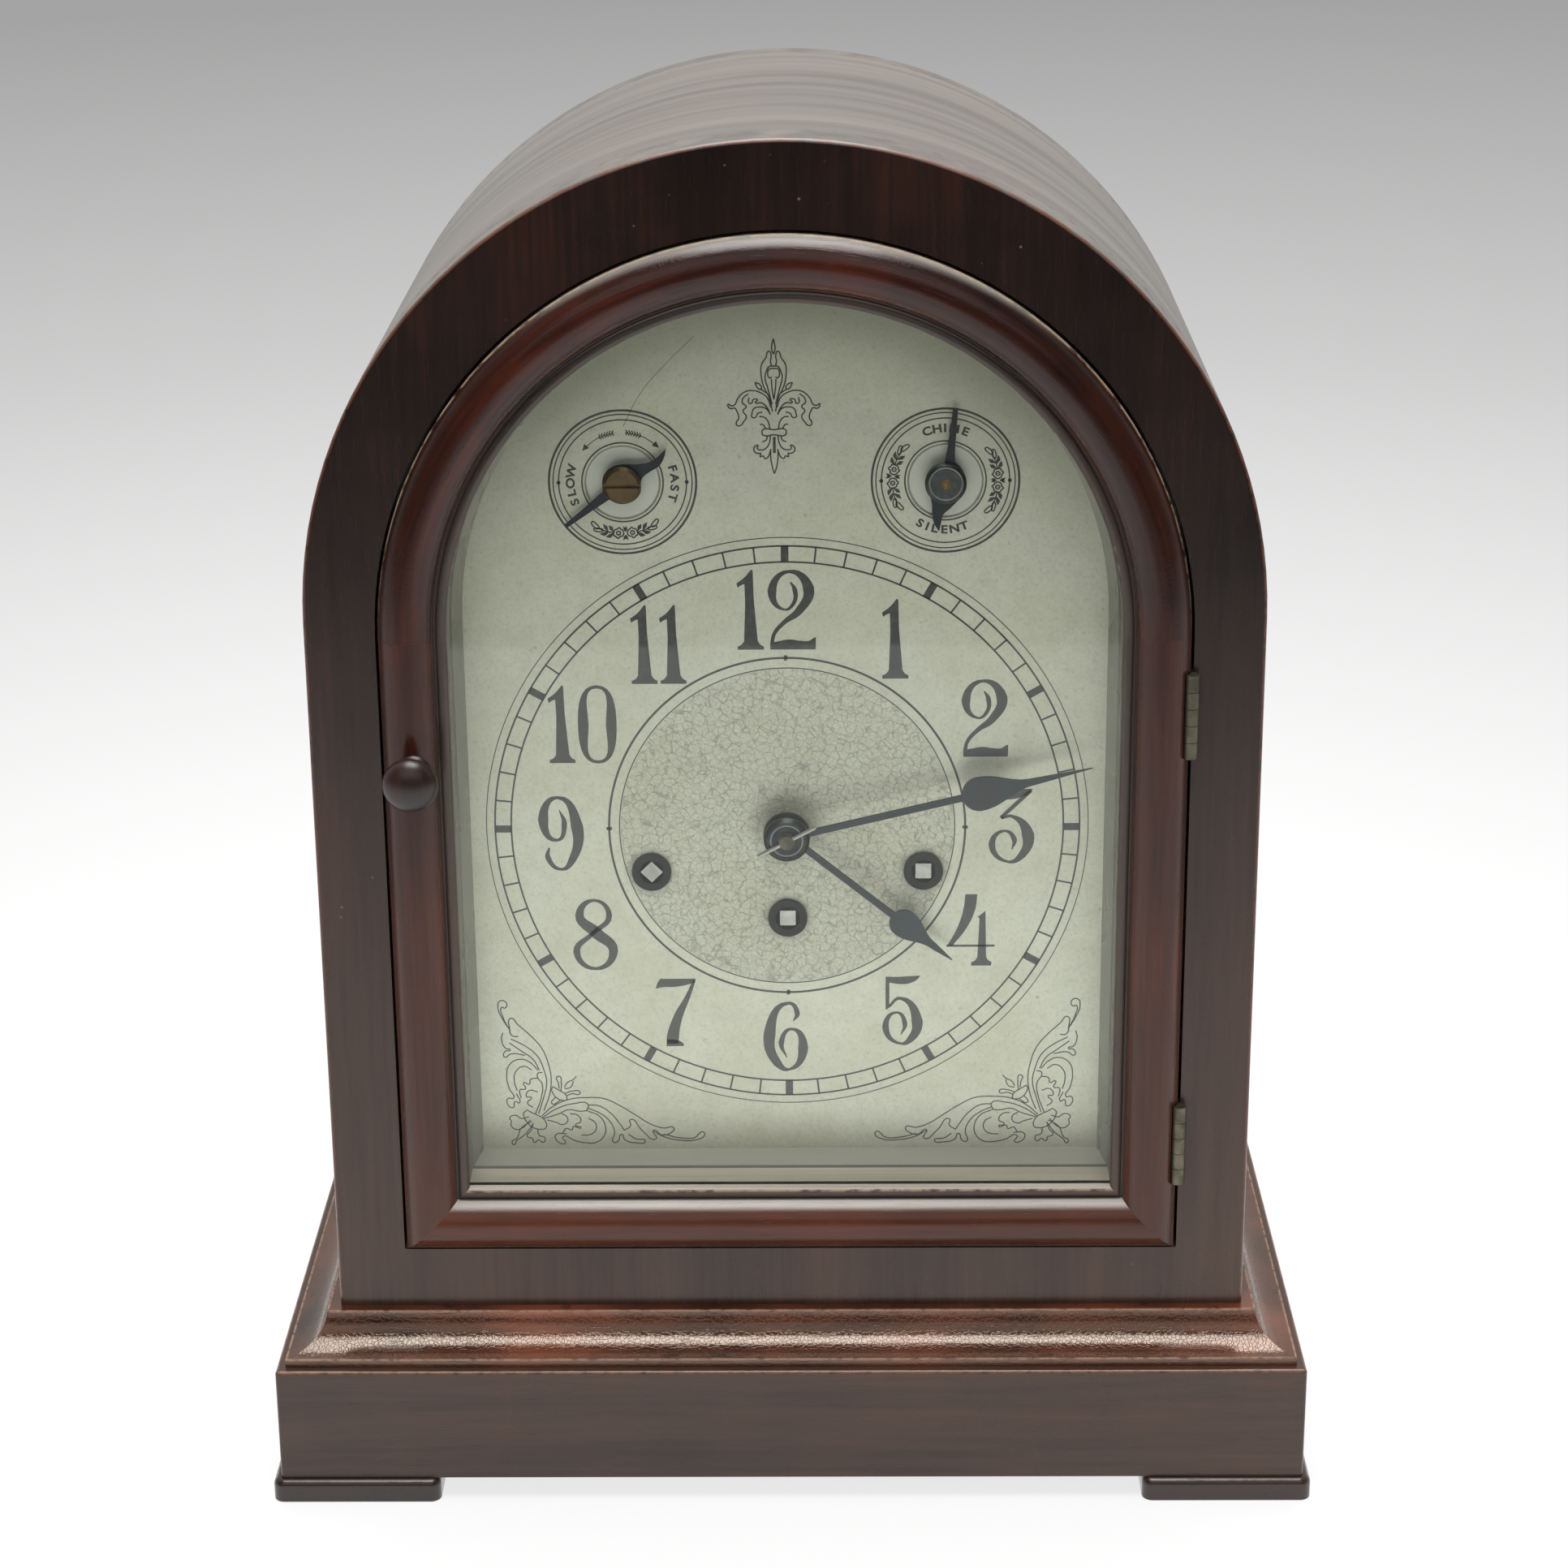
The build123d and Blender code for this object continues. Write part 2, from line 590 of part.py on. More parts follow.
def make_base():
    """Bracket feet, plinth, hollow moulding and the board that closes the case below."""
    reach_x = CASE_HALF + PLINTH_PROJECTION
    reach_y = DEPTH_HALF + PLINTH_PROJECTION
    foot = Box(FOOT_LENGTH, FOOT_LENGTH, FOOT_HEIGHT)
    foot = fillet(foot.edges().filter_by(Axis.Z), FOOT_END_ROUND)
    foot = fillet(foot.faces().sort_by(Axis.Z)[-1].edges(), FOOT_TOP_ROUND)
    foot = fillet(foot.faces().sort_by(Axis.Z)[0].edges(), FOOT_BASE_ROUND)
    foot_x = reach_x + FOOT_PROJECTION - FOOT_LENGTH / 2
    foot_y = reach_y + FOOT_PROJECTION - FOOT_LENGTH / 2
    feet = [Pos(sx * foot_x, sy * foot_y, FOOT_HEIGHT / 2) * foot for sx in (-1, 1) for sy in (-1, 1)]

    plinth_place = Pos(0, 0, FOOT_HEIGHT + PLINTH_HEIGHT / 2)
    plinth = plinth_place * Box(2 * reach_x, 2 * reach_y, PLINTH_HEIGHT)
    top_edges = plinth.faces().sort_by(Axis.Z)[-1].edges()
    plinth = fillet(plinth.edges().filter_by(Axis.Z) + top_edges, PLINTH_ROUND)
    hollow = Box(2 * (reach_x - PLINTH_RAIL), 2 * (reach_y - PLINTH_RAIL), 2 * PLINTH_HEIGHT)
    plinth -= plinth_place * hollow

    inner_x = CASE_HALF - MOULDING_BEARING
    inner_y = DEPTH_HALF - MOULDING_BEARING
    run = CASE_WIDTH + CASE_DEPTH
    across = extrude(Plane.XZ * moulding_outline(CASE_HALF), amount=run, both=True)
    along = extrude(Plane.YZ * moulding_outline(DEPTH_HALF), amount=run, both=True)
    board_place = Pos(0, 0, PLINTH_TOP + MOULDING_HEIGHT / 2)
    board = board_place * Box(2 * inner_x, 2 * inner_y, MOULDING_HEIGHT)
    moulding = (across & along) - board
    return {
        "bracket_feet": group(feet),
        "plinth": plinth,
        "base_moulding": moulding,
        "base_board": board,
    }


# Hinges are drawn about their own axis: the door lies to the left, the case to the right and the
# depth of the case runs along Y.
def hinge_leaf(side):
    """Leaf with its knuckles: side is -1 for the door's leaf and 1 for the case's leaf."""
    low = LEAF_SETBACK
    high = LEAF_SETBACK + LEAF_THICKNESS
    middle = side * (low + high) / 2
    plate = Pos(middle, LEAF_WIDTH / 2, 0) * Box(LEAF_THICKNESS, LEAF_WIDTH, HINGE_LENGTH)
    plate -= Cylinder(HINGE_RADIUS + HINGE_KNUCKLE_GAP, 2 * HINGE_LENGTH)
    pitch = (HINGE_LENGTH + HINGE_KNUCKLE_GAP) / HINGE_KNUCKLE_COUNT
    first = 0 if side > 0 else 1
    web_depth = 2 * HINGE_RADIUS
    for number in range(first, HINGE_KNUCKLE_COUNT, 2):
        level = -HINGE_LENGTH / 2 + number * pitch + (pitch - HINGE_KNUCKLE_GAP) / 2
        length = pitch - HINGE_KNUCKLE_GAP
        knuckle = Cylinder(HINGE_RADIUS, length)
        knuckle += Pos(middle, web_depth / 2, 0) * Box(LEAF_THICKNESS, web_depth, length)
        plate += Pos(0, 0, level) * knuckle
    plate -= Cylinder(HINGE_PIN_RADIUS + RUNNING_FIT, 2 * HINGE_LENGTH)
    for screw in hinge_screws(side, HINGE_SCREW_RADIUS + FIXED_FIT):
        plate -= screw
    return plate


def hinge_screws(side, radius):
    """The two screws of a leaf, or their holes."""
    length = HINGE_SCREW_LENGTH
    shank = Rot(0, 90, 0) * Cylinder(radius, length)
    middle = side * (LEAF_SETBACK + length / 2)
    level = HINGE_LENGTH / 2 - HINGE_SCREW_MARGIN
    return [Pos(middle, LEAF_WIDTH - HINGE_SCREW_INSET, sign * level) * shank for sign in (-1, 1)]


def hinge_housing(side):
    """What is cut from the door or the case for one leaf and its screws."""
    depth = LEAF_SETBACK + LEAF_THICKNESS
    cut = Pos(side * depth / 2, LEAF_WIDTH / 2, 0) * Box(depth, LEAF_WIDTH, HINGE_LENGTH)
    for screw in hinge_screws(side, HINGE_SCREW_RADIUS + FIXED_FIT):
        cut += screw
    if side < 0:
        room = HINGE_RADIUS + HINGE_KNUCKLE_ROOM
        cut += Cylinder(room, HINGE_LENGTH + 2 * HINGE_KNUCKLE_ROOM)
    return cut


def hung(shape, places):
    """Copies of a hinge piece at each hinge's place."""
    return [place * shape for place in places]


FRONT_HINGES = [
    Pos(DOOR_HALF + DOOR_GAP / 2, at_depth(-HINGE_PROUD), level)
    for level in (DOOR_BASE + FRONT_HINGE_RISE, DOOR_SPRING - FRONT_HINGE_DROP)
]
BACK_HINGES = [
    Pos(-BACK_DOOR_HALF - BACK_DOOR_GAP / 2, at_depth(CASE_DEPTH + HINGE_PROUD), level) * Rot(0, 0, 180)
    for level in (BACK_DOOR_BASE + BACK_HINGE_RISE, DOOR_SPRING - BACK_HINGE_DROP)
]


def make_hinges(places, door_name, case_name):
    """Both halves of a door's hinges: leaves and screws, with the pins on the case's half."""
    pin = Cylinder(HINGE_PIN_RADIUS, HINGE_LENGTH)
    door_half = hung(hinge_leaf(-1), places)
    case_half = hung(hinge_leaf(1), places) + hung(pin, places)
    for screw in hinge_screws(-1, HINGE_SCREW_RADIUS):
        door_half += hung(screw, places)
    for screw in hinge_screws(1, HINGE_SCREW_RADIUS):
        case_half += hung(screw, places)
    return {door_name: group(door_half), case_name: group(case_half)}


# Case
def upper_edges(face):
    """The edges of an arched face apart from the one along its base."""
    return face.edges().filter_by(lambda edge: edge.center().Z > CASE_BASE + CASE_EDGE_ROUND)


def make_case():
    """Bent shell, front and back frames and the splayed surround of the dial."""
    outer = arch(CASE_HALF, CASE_BASE, SPRING)
    back_front = CASE_DEPTH - BACK_THICKNESS
    shell = slab(outer - arch(INNER_HALF, CASE_BASE, SPRING), FRONT_THICKNESS, back_front)

    front = slab(outer, 0, FRONT_THICKNESS)
    front = fillet(upper_edges(front.faces().sort_by(Axis.Y)[0]), CASE_EDGE_ROUND)
    front -= slab(arch(OPENING_HALF, OPENING_BASE, DOOR_SPRING), -FRONT_THICKNESS, 2 * FRONT_THICKNESS)
    for cut in hung(hinge_housing(1), FRONT_HINGES):
        front -= cut

    back = slab(outer, back_front, CASE_DEPTH)
    back = fillet(upper_edges(back.faces().sort_by(Axis.Y)[-1]), CASE_EDGE_ROUND)
    opening = arch(BACK_OPENING_HALF, BACK_OPENING_BASE, DOOR_SPRING)
    back -= slab(opening, back_front - BACK_THICKNESS, CASE_DEPTH + BACK_THICKNESS)
    for cut in hung(hinge_housing(1), BACK_HINGES):
        back -= cut

    wide = Plane.XZ.offset(-at_depth(FRONT_THICKNESS)) * arch(SIGHT_HALF, SIGHT_BASE, DOOR_SPRING)
    narrow_face = arch(DIAL_OPENING_HALF, DIAL_OPENING_BASE, DOOR_SPRING)
    narrow = Plane.XZ.offset(-at_depth(DIAL_DEPTH)) * narrow_face
    surround = slab(arch(INNER_HALF - SURROUND_FIT, CASE_BASE, SPRING), FRONT_THICKNESS, DIAL_DEPTH)
    surround -= loft([wide.face(), narrow.face()])
    return {"case_shell": shell, "front_frame": front, "back_frame": back, "dial_surround": surround}


# Front door
def door_section():
    """Section of the door's moulding: distance from its outer edge, and depth."""
    outer_front = -DOOR_EDGE_PROUD
    quirk = DOOR_CROWN_WIDTH + DOOR_QUIRK_WIDTH
    bead_middle = (quirk + DOOR_RAIL) / 2
    rebate = DOOR_RAIL - GLASS_REBATE
    outline = Polyline((0, DOOR_BACK), (0, outer_front))
    outline += ThreePointArc(
        (0, outer_front), (DOOR_CROWN_WIDTH / 2, -DOOR_CROWN_PROUD), (DOOR_CROWN_WIDTH, outer_front)
    )
    outline += Polyline(
        (DOOR_CROWN_WIDTH, outer_front), (DOOR_CROWN_WIDTH, DOOR_QUIRK_DEPTH), (quirk, DOOR_QUIRK_DEPTH)
    )
    outline += ThreePointArc(
        (quirk, DOOR_QUIRK_DEPTH), (bead_middle, -DOOR_BEAD_PROUD), (DOOR_RAIL, DOOR_QUIRK_DEPTH)
    )
    outline += Polyline(
        (DOOR_RAIL, DOOR_QUIRK_DEPTH),
        (DOOR_RAIL, GLASS_FRONT),
        (rebate, GLASS_FRONT),
        (rebate, DOOR_BACK),
        (0, DOOR_BACK),
    )
    return make_face(outline)


def moulded_ring(section, half_width, base, spring, rail, back):
    """Arched frame of a section, mitred at its two bottom corners."""
    at_spring = Plane(origin=(half_width, at_depth(0), spring), x_dir=(-1, 0, 0), z_dir=(0, 0, -1))
    at_side = Plane(origin=(half_width, at_depth(0), base), x_dir=(0, 0, 1), z_dir=(-1, 0, 0))
    reach = 2 * back
    stile_area = Polygon(
        (half_width, base),
        (half_width, spring),
        (half_width - rail, spring),
        (half_width - rail, base + rail),
        align=None,
    )
    rail_area = Polygon(
        (-half_width, base),
        (half_width, base),
        (half_width - rail, base + rail),
        (-half_width + rail, base + rail),
        align=None,
    )
    stile = extrude(at_spring * section, amount=spring - base) & slab(stile_area, -reach, reach)
    foot = extrude(at_side * section, amount=2 * half_width) & slab(rail_area, -reach, reach)
    head = revolve(at_spring * section, axis=Axis((0, 0, spring), (0, -1, 0)), revolution_arc=180)
    return head + stile + mirror(stile, about=Plane.YZ) + foot


def knob_outline():
    """Half outline of the turned door knob: radius and depth."""
    shoulder = -DOOR_CROWN_PROUD
    rim = -KNOB_PROUD + KNOB_DOME
    outline = Polyline(
        (0, KNOB_TENON_BACK),
        (KNOB_TENON_RADIUS, KNOB_TENON_BACK),
        (KNOB_TENON_RADIUS, shoulder),
        (KNOB_NECK_RADIUS + KNOB_FLARE, shoulder),
        (KNOB_NECK_RADIUS, shoulder - KNOB_FLARE),
        (KNOB_NECK_RADIUS, rim + 2 * KNOB_UNDERCUT),
        (KNOB_RADIUS - KNOB_UNDERCUT, rim + KNOB_UNDERCUT),
        (KNOB_RADIUS, rim),
    )
    outline += EllipticalCenterArc((0, rim), KNOB_RADIUS, KNOB_DOME, start_angle=270, arc_size=90)
    outline += Line((0, -KNOB_PROUD), (0, KNOB_TENON_BACK))
    return make_face(outline)


def make_front_door():
    """Moulded frame, glass, glazing bead and turned knob."""
    frame = moulded_ring(door_section(), DOOR_HALF, DOOR_BASE, DOOR_SPRING, DOOR_RAIL, DOOR_BACK)
    for cut in hung(hinge_housing(-1), FRONT_HINGES):
        frame -= cut
    knob_place = (-DOOR_HALF + KNOB_INSET, DOOR_SPRING - KNOB_DROP)
    frame -= rod(knob_place, KNOB_TENON_RADIUS + FIXED_FIT, -KNOB_PROUD, KNOB_TENON_BACK + FIXED_FIT)

    rebate = GLASS_REBATE - GLASS_FIT
    glass_face = arch(SIGHT_HALF + rebate, SIGHT_BASE - rebate, DOOR_SPRING)
    glass_back = GLASS_FRONT + GLASS_THICKNESS
    glass = slab(glass_face, GLASS_FRONT, glass_back)
    bead_inner = arch(SIGHT_HALF + GLAZING_BEAD_SETBACK, SIGHT_BASE - GLAZING_BEAD_SETBACK, DOOR_SPRING)
    bead = slab(glass_face - bead_inner, glass_back, glass_back + GLAZING_BEAD_DEPTH)

    knob = Pos(knob_place[0], at_depth(0), knob_place[1]) * revolve(knob_outline(), axis=Axis.Y)
    return {"door_frame": frame, "door_glass": glass, "glazing_bead": bead, "door_knob": knob}


def make_back_door():
    """Plain arched back door with a small turned knob."""
    inside = CASE_DEPTH - BACK_THICKNESS
    knob_end = CASE_DEPTH + BACK_KNOB_PROUD
    door = slab(arch(BACK_DOOR_HALF, BACK_DOOR_BASE, DOOR_SPRING), inside, CASE_DEPTH)
    for cut in hung(hinge_housing(-1), BACK_HINGES):
        door -= cut
    place = (BACK_DOOR_HALF - BACK_KNOB_INSET, BACK_DOOR_BASE + BACK_KNOB_RISE)
    door -= rod(place, BACK_KNOB_TENON + FIXED_FIT, 0, knob_end)
    knob = turned(
        [
            (0, inside),
            (BACK_KNOB_TENON, inside),
            (BACK_KNOB_TENON, CASE_DEPTH),
            (BACK_KNOB_NECK, CASE_DEPTH),
            (BACK_KNOB_NECK, knob_end - 3 * BACK_KNOB_CHAMFER),
            (BACK_KNOB_RADIUS, knob_end - 2 * BACK_KNOB_CHAMFER),
            (BACK_KNOB_RADIUS, knob_end - BACK_KNOB_CHAMFER),
            (BACK_KNOB_RADIUS - BACK_KNOB_CHAMFER, knob_end),
            (0, knob_end),
        ],
        place,
    )
    return {"back_door": door, "back_door_knob": knob}


# Dial and hands
def make_dial():
    """Arched dial with its feet, and the collars of the three winding holes."""
    half = DIAL_OPENING_HALF + DIAL_OVERLAP
    dial = slab(arch(half, DIAL_OPENING_BASE - DIAL_OVERLAP, DOOR_SPRING), DIAL_DEPTH, DIAL_BACK)
    dial -= rod(HAND_CENTRE, DIAL_CENTRE_HOLE, 0, CASE_DEPTH)
    for centre in (REGULATOR_CENTRE, CHIME_CENTRE):
        dial -= rod(centre, INDEX_ARBOR + RUNNING_FIT, 0, CASE_DEPTH)
    collars = []
    for winder in (GOING_WINDER, STRIKE_WINDER, CHIME_WINDER):
        dial -= rod(winder, COLLAR_SLEEVE + FIXED_FIT, 0, CASE_DEPTH)
        collar = rod(winder, COLLAR_RADIUS, DIAL_DEPTH - COLLAR_PROUD, DIAL_DEPTH)
        collar += rod(winder, COLLAR_SLEEVE, DIAL_DEPTH - COLLAR_PROUD, DIAL_BACK)
        collars.append(collar - rod(winder, COLLAR_BORE, 0, CASE_DEPTH))
    for foot in DIAL_FEET:
        dial += rod(foot, DIAL_FOOT_RADIUS, DIAL_BACK, FRONT_PLATE_DEPTH)
        dial += rod(foot, DIAL_FOOT_TENON, FRONT_PLATE_DEPTH, FRONT_PLATE_BACK)
    return {"dial_plate": dial, "winding_collars": group(collars)}


def spade_hand(length, bulb, bulb_width, pipe):
    """Face of a hand that points to twelve: thin stem, round bulb with hollow flanks, needle point."""
    bulb_radius = bulb_width / 2
    bulb_middle = bulb[0] + bulb_radius
    needle = HAND_STEM / 2
    flank = Spline((bulb_radius, bulb_middle), (needle, bulb[1]), tangents=[(0, 1), (0, 1)])
    outline = flank + Polyline((needle, bulb[1]), (0, length), (-needle, bulb[1]))
    outline += mirror(flank, about=Plane.YZ)
    outline += Line((-bulb_radius, bulb_middle), (bulb_radius, bulb_middle))
    face = Circle(pipe + HAND_HUB_RIM)
    face += Pos(0, bulb_middle / 2) * Rectangle(HAND_STEM, bulb_middle)
    face += Pos(0, bulb_middle) * Circle(bulb_radius)
    face += make_face(outline)
    return face - Circle(pipe + FIXED_FIT)


def index_hand(tip, tail, lean):
    """Face of a sub-dial's pointer, which points to twelve, with a curved leaf as its tail."""
    half = INDEX_POINTER_WIDTH / 2
    tip_half = INDEX_TIP_WIDTH / 2
    face = Circle(INDEX_HUB)
    face += Polygon((-half, 0), (half, 0), (tip_half, tip), (-tip_half, tip), align=None)
    leaf = ThreePointArc((0, 0), (-INDEX_LEAF_LEFT, -0.64 * tail), (lean, -tail))
    leaf += ThreePointArc((lean, -tail), (INDEX_LEAF_RIGHT, -0.52 * tail), (0, 0))
    face += make_face(leaf)
    return face - Circle(INDEX_ARBOR + FIXED_FIT)


def hand_at(face, place, angle, front, thickness):
    """A hand's face turned clockwise to its angle and given its thickness."""
    return slab(Pos(*place) * Rot(0, 0, -angle) * face, front, front + thickness)


def index_arbor(place, head):
    """Arbor of a sub-dial's pointer: head, spacer in front of the dial and collar behind it."""
    head_front = INDEX_FRONT - INDEX_HEAD_PROUD
    hand_back = INDEX_FRONT + INDEX_THICKNESS
    collar_front = DIAL_BACK + INDEX_PLAY
    return turned(
        [
            (0, head_front),
            (head - INDEX_HEAD_CHAMFER, head_front),
            (head, head_front + INDEX_HEAD_CHAMFER),
            (head, INDEX_FRONT),
            (INDEX_ARBOR, INDEX_FRONT),
            (INDEX_ARBOR, hand_back),
            (INDEX_HUB, hand_back),
            (INDEX_HUB, DIAL_DEPTH - INDEX_PLAY),
            (INDEX_ARBOR, DIAL_DEPTH - INDEX_PLAY),
            (INDEX_ARBOR, collar_front),
            (INDEX_COLLAR, collar_front),
            (INDEX_COLLAR, collar_front + INDEX_COLLAR_THICKNESS),
            (0, collar_front + INDEX_COLLAR_THICKNESS),
        ],
        place,
    )


def make_hands():
    """Time hands with their collet and pin, and the two sub-dials' pointers on their arbors."""
    minute_face = spade_hand(MINUTE_LENGTH, MINUTE_BULB, MINUTE_BULB_WIDTH, CANNON_PIPE)
    hour_face = spade_hand(HOUR_LENGTH, HOUR_BULB, HOUR_BULB_WIDTH, HOUR_PIPE)
    minute = hand_at(minute_face, HAND_CENTRE, MINUTE_ANGLE, MINUTE_FRONT, HAND_THICKNESS)
    hour = hand_at(hour_face, HAND_CENTRE, HOUR_ANGLE, HOUR_FRONT, HAND_THICKNESS)

    collet_back = MINUTE_FRONT - RUNNING_FIT
    bore = CENTRE_ARBOR + FIXED_FIT
    collet = turned(
        [
            (bore, COLLET_FRONT),
            (COLLET_RADIUS - COLLET_CHAMFER, COLLET_FRONT),
            (COLLET_RADIUS, COLLET_FRONT + COLLET_CHAMFER),
            (COLLET_RADIUS, collet_back),
            (bore, collet_back),
        ],
        HAND_CENTRE,
    )

    regulator_arbor = index_arbor(REGULATOR_CENTRE, REGULATOR_HEAD)
    slot = Rot(0, 0, REGULATOR_SLOT_ANGLE) * Rectangle(REGULATOR_SLOT, 3 * REGULATOR_HEAD)
    head_front = INDEX_FRONT - INDEX_HEAD_PROUD
    regulator_arbor -= slab(Pos(*REGULATOR_CENTRE) * slot, head_front, head_front + INDEX_HEAD_PROUD / 2)
    chime_arbor = index_arbor(CHIME_CENTRE, CHIME_HEAD)
    lever_front = DIAL_BACK + INDEX_PLAY
    lever_end = shifted(CHIME_CENTRE, polar(CHIME_LEVER, CHIME_ANGLE + 180.0))
    lever = bar(CHIME_CENTRE, lever_end, INDEX_COLLAR)
    chime_arbor += slab(lever, lever_front, lever_front + INDEX_COLLAR_THICKNESS)
    regulator_face = index_hand(REGULATOR_TIP, REGULATOR_TAIL, REGULATOR_TAIL_LEAN)
    regulator = hand_at(regulator_face, REGULATOR_CENTRE, REGULATOR_ANGLE, INDEX_FRONT, INDEX_THICKNESS)
    chime_face = index_hand(CHIME_TIP, CHIME_TAIL, CHIME_TAIL_LEAN)
    chime = hand_at(chime_face, CHIME_CENTRE, CHIME_ANGLE, INDEX_FRONT, INDEX_THICKNESS)
    return {
        "minute_hand": minute,
        "hour_hand": hour,
        "hand_collet": collet,
        "hand_pin": hand_pin(PIN_RADIUS),
        "regulator_hand": regulator,
        "regulator_arbor": regulator_arbor,
        "chime_hand": chime,
        "chime_arbor": chime_arbor,
    }


def hand_pin(radius):
    """Taper pin across the end of the centre arbor, or its hole."""
    lying = Rot(0, PIN_ANGLE, 0) * Cylinder(radius, PIN_LENGTH)
    return Pos(HAND_CENTRE[0], at_depth(PIN_DEPTH), HAND_CENTRE[1]) * lying


# Movement plates and what holds them
def make_frame():
    """The two plates with their pillars and screws, on a seat board between the case sides."""
    blank = RectangleRounded(2 * PLATE_HALF, PLATE_TOP - SEAT_TOP, PLATE_CORNER)
    blank = Pos(0, (SEAT_TOP + PLATE_TOP) / 2) * blank
    front = slab(blank, FRONT_PLATE_DEPTH, FRONT_PLATE_BACK)
    back = slab(blank, BACK_PLATE_DEPTH, BACK_PLATE_BACK)
    pivot_hole = PIVOT_RADIUS + RUNNING_FIT
    front_holes = [(HAND_CENTRE, CENTRE_ARBOR + 2 * RUNNING_FIT), (ANCHOR_ARBOR, pivot_hole)]
    back_holes = [(HAND_CENTRE, pivot_hole), (ANCHOR_ARBOR, 2 * ARBOR_RADIUS)]
    back_holes += [(DRUM_ARBOR, 1.5 * ARBOR_RADIUS), (STRIKE_ARBOR, pivot_hole)]
    back_holes += [(HAMMER_PIVOT, HAMMER_ROD + FIXED_FIT)]
    for arbor in (THIRD_ARBOR, ESCAPE_ARBOR):
        front_holes.append((arbor, pivot_hole))
        back_holes.append((arbor, pivot_hole))
    for arbor in (DRUM_ARBOR, STRIKE_ARBOR):
        front_holes.append((arbor, pivot_hole))
    for winder in (GOING_WINDER, STRIKE_WINDER, CHIME_WINDER):
        front_holes.append((winder, WINDER_RADIUS + RUNNING_FIT))
        back_holes.append((winder, WINDER_PIVOT + RUNNING_FIT))
    for pillar in PILLARS:
        front_holes.append((pillar, SCREW_RADIUS + FIXED_FIT))
        back_holes.append((pillar, SCREW_RADIUS + FIXED_FIT))
    for foot in DIAL_FEET:
        front_holes.append((foot, DIAL_FOOT_TENON + FIXED_FIT))
    for place, radius in front_holes:
        front -= rod(place, radius, 0, CASE_DEPTH)
    for place, radius in back_holes:
        back -= rod(place, radius, 0, CASE_DEPTH)
    front += rod(MINUTE_STUD, STUD_RADIUS, HOUR_WHEEL_DEPTH - PINION_OVERHANG, FRONT_PLATE_DEPTH)

    pillars = []
    screws = []
    bolt_depth = (FRONT_PLATE_BACK + BACK_PLATE_DEPTH) / 2
    for place in PILLARS:
        pillar = rod(place, PILLAR_RADIUS, FRONT_PLATE_BACK, BACK_PLATE_DEPTH)
        hole = SCREW_RADIUS + FIXED_FIT
        pillar -= rod(place, hole, 0, FRONT_PLATE_BACK + SCREW_GRIP)
        pillar -= rod(place, hole, BACK_PLATE_DEPTH - SCREW_GRIP, CASE_DEPTH)
        front_end = FRONT_PLATE_BACK + SCREW_GRIP
        back_end = BACK_PLATE_DEPTH - SCREW_GRIP
        screw_front = rod(place, SCREW_RADIUS, FRONT_PLATE_DEPTH - SCREW_HEAD, front_end)
        screw_front += rod(place, SCREW_HEAD_RADIUS, FRONT_PLATE_DEPTH - SCREW_HEAD, FRONT_PLATE_DEPTH)
        screw_back = rod(place, SCREW_RADIUS, back_end, BACK_PLATE_BACK + SCREW_HEAD)
        screw_back += rod(place, SCREW_HEAD_RADIUS, BACK_PLATE_BACK, BACK_PLATE_BACK + SCREW_HEAD)
        screws += [screw_front, screw_back]
        if place[1] < DIAL_Z:
            pillar -= seat_bolt(place, bolt_depth, SCREW_RADIUS + FIXED_FIT, place[1])
            screws.append(seat_bolt(place, bolt_depth, SCREW_RADIUS, place[1] - FIXED_FIT))
        pillars.append(pillar)

    seat_front = FRONT_PLATE_DEPTH - SEAT_OVERHANG_FRONT
    seat_back = BACK_PLATE_BACK + SEAT_OVERHANG_BACK
    seat_middle = at_depth((seat_front + seat_back) / 2)
    seat_run = seat_back - seat_front
    seat_place = Pos(0, seat_middle, SEAT_TOP - SEAT_THICKNESS / 2)
    seat = seat_place * Box(2 * INNER_HALF, seat_run, SEAT_THICKNESS)
    for place in PILLARS:
        if place[1] < DIAL_Z:
            seat -= seat_bolt(place, bolt_depth, SCREW_RADIUS + FIXED_FIT, place[1], headed=False)
    cleat = Box(CLEAT_WIDTH, seat_run, CLEAT_HEIGHT)
    cleat_z = SEAT_TOP - SEAT_THICKNESS - CLEAT_HEIGHT / 2
    cleat_x = INNER_HALF - CLEAT_WIDTH / 2
    cleats = [Pos(side * cleat_x, seat_middle, cleat_z) * cleat for side in (-1, 1)]
    return {
        "front_plate": front,
        "back_plate": back,
        "plate_pillars": group(pillars),
        "movement_screws": group(screws),
        "seat_board": group([seat] + cleats),
    }


def seat_bolt(place, depth, radius, top, headed=True):
    """Bolt from below the seat board into a pillar, or the hole for it."""
    seat_base = SEAT_TOP - SEAT_THICKNESS
    foot = seat_base - SCREW_HEAD
    bolt = Pos(0, 0, (foot + top) / 2) * Cylinder(radius, top - foot)
    if headed:
        bolt += Pos(0, 0, seat_base - SCREW_HEAD / 2) * Cylinder(SCREW_HEAD_RADIUS, SCREW_HEAD)
    return Pos(place[0], at_depth(depth), 0) * bolt


# Winding, barrels and trains
def great_wheel(place, towards, depth):
    """Toothed disc on the end of a barrel."""
    face = wheel_face(GREAT_TEETH, GREAT_MODULE, towards)
    return slab(Pos(*place) * face, depth, depth + GREAT_THICKNESS)


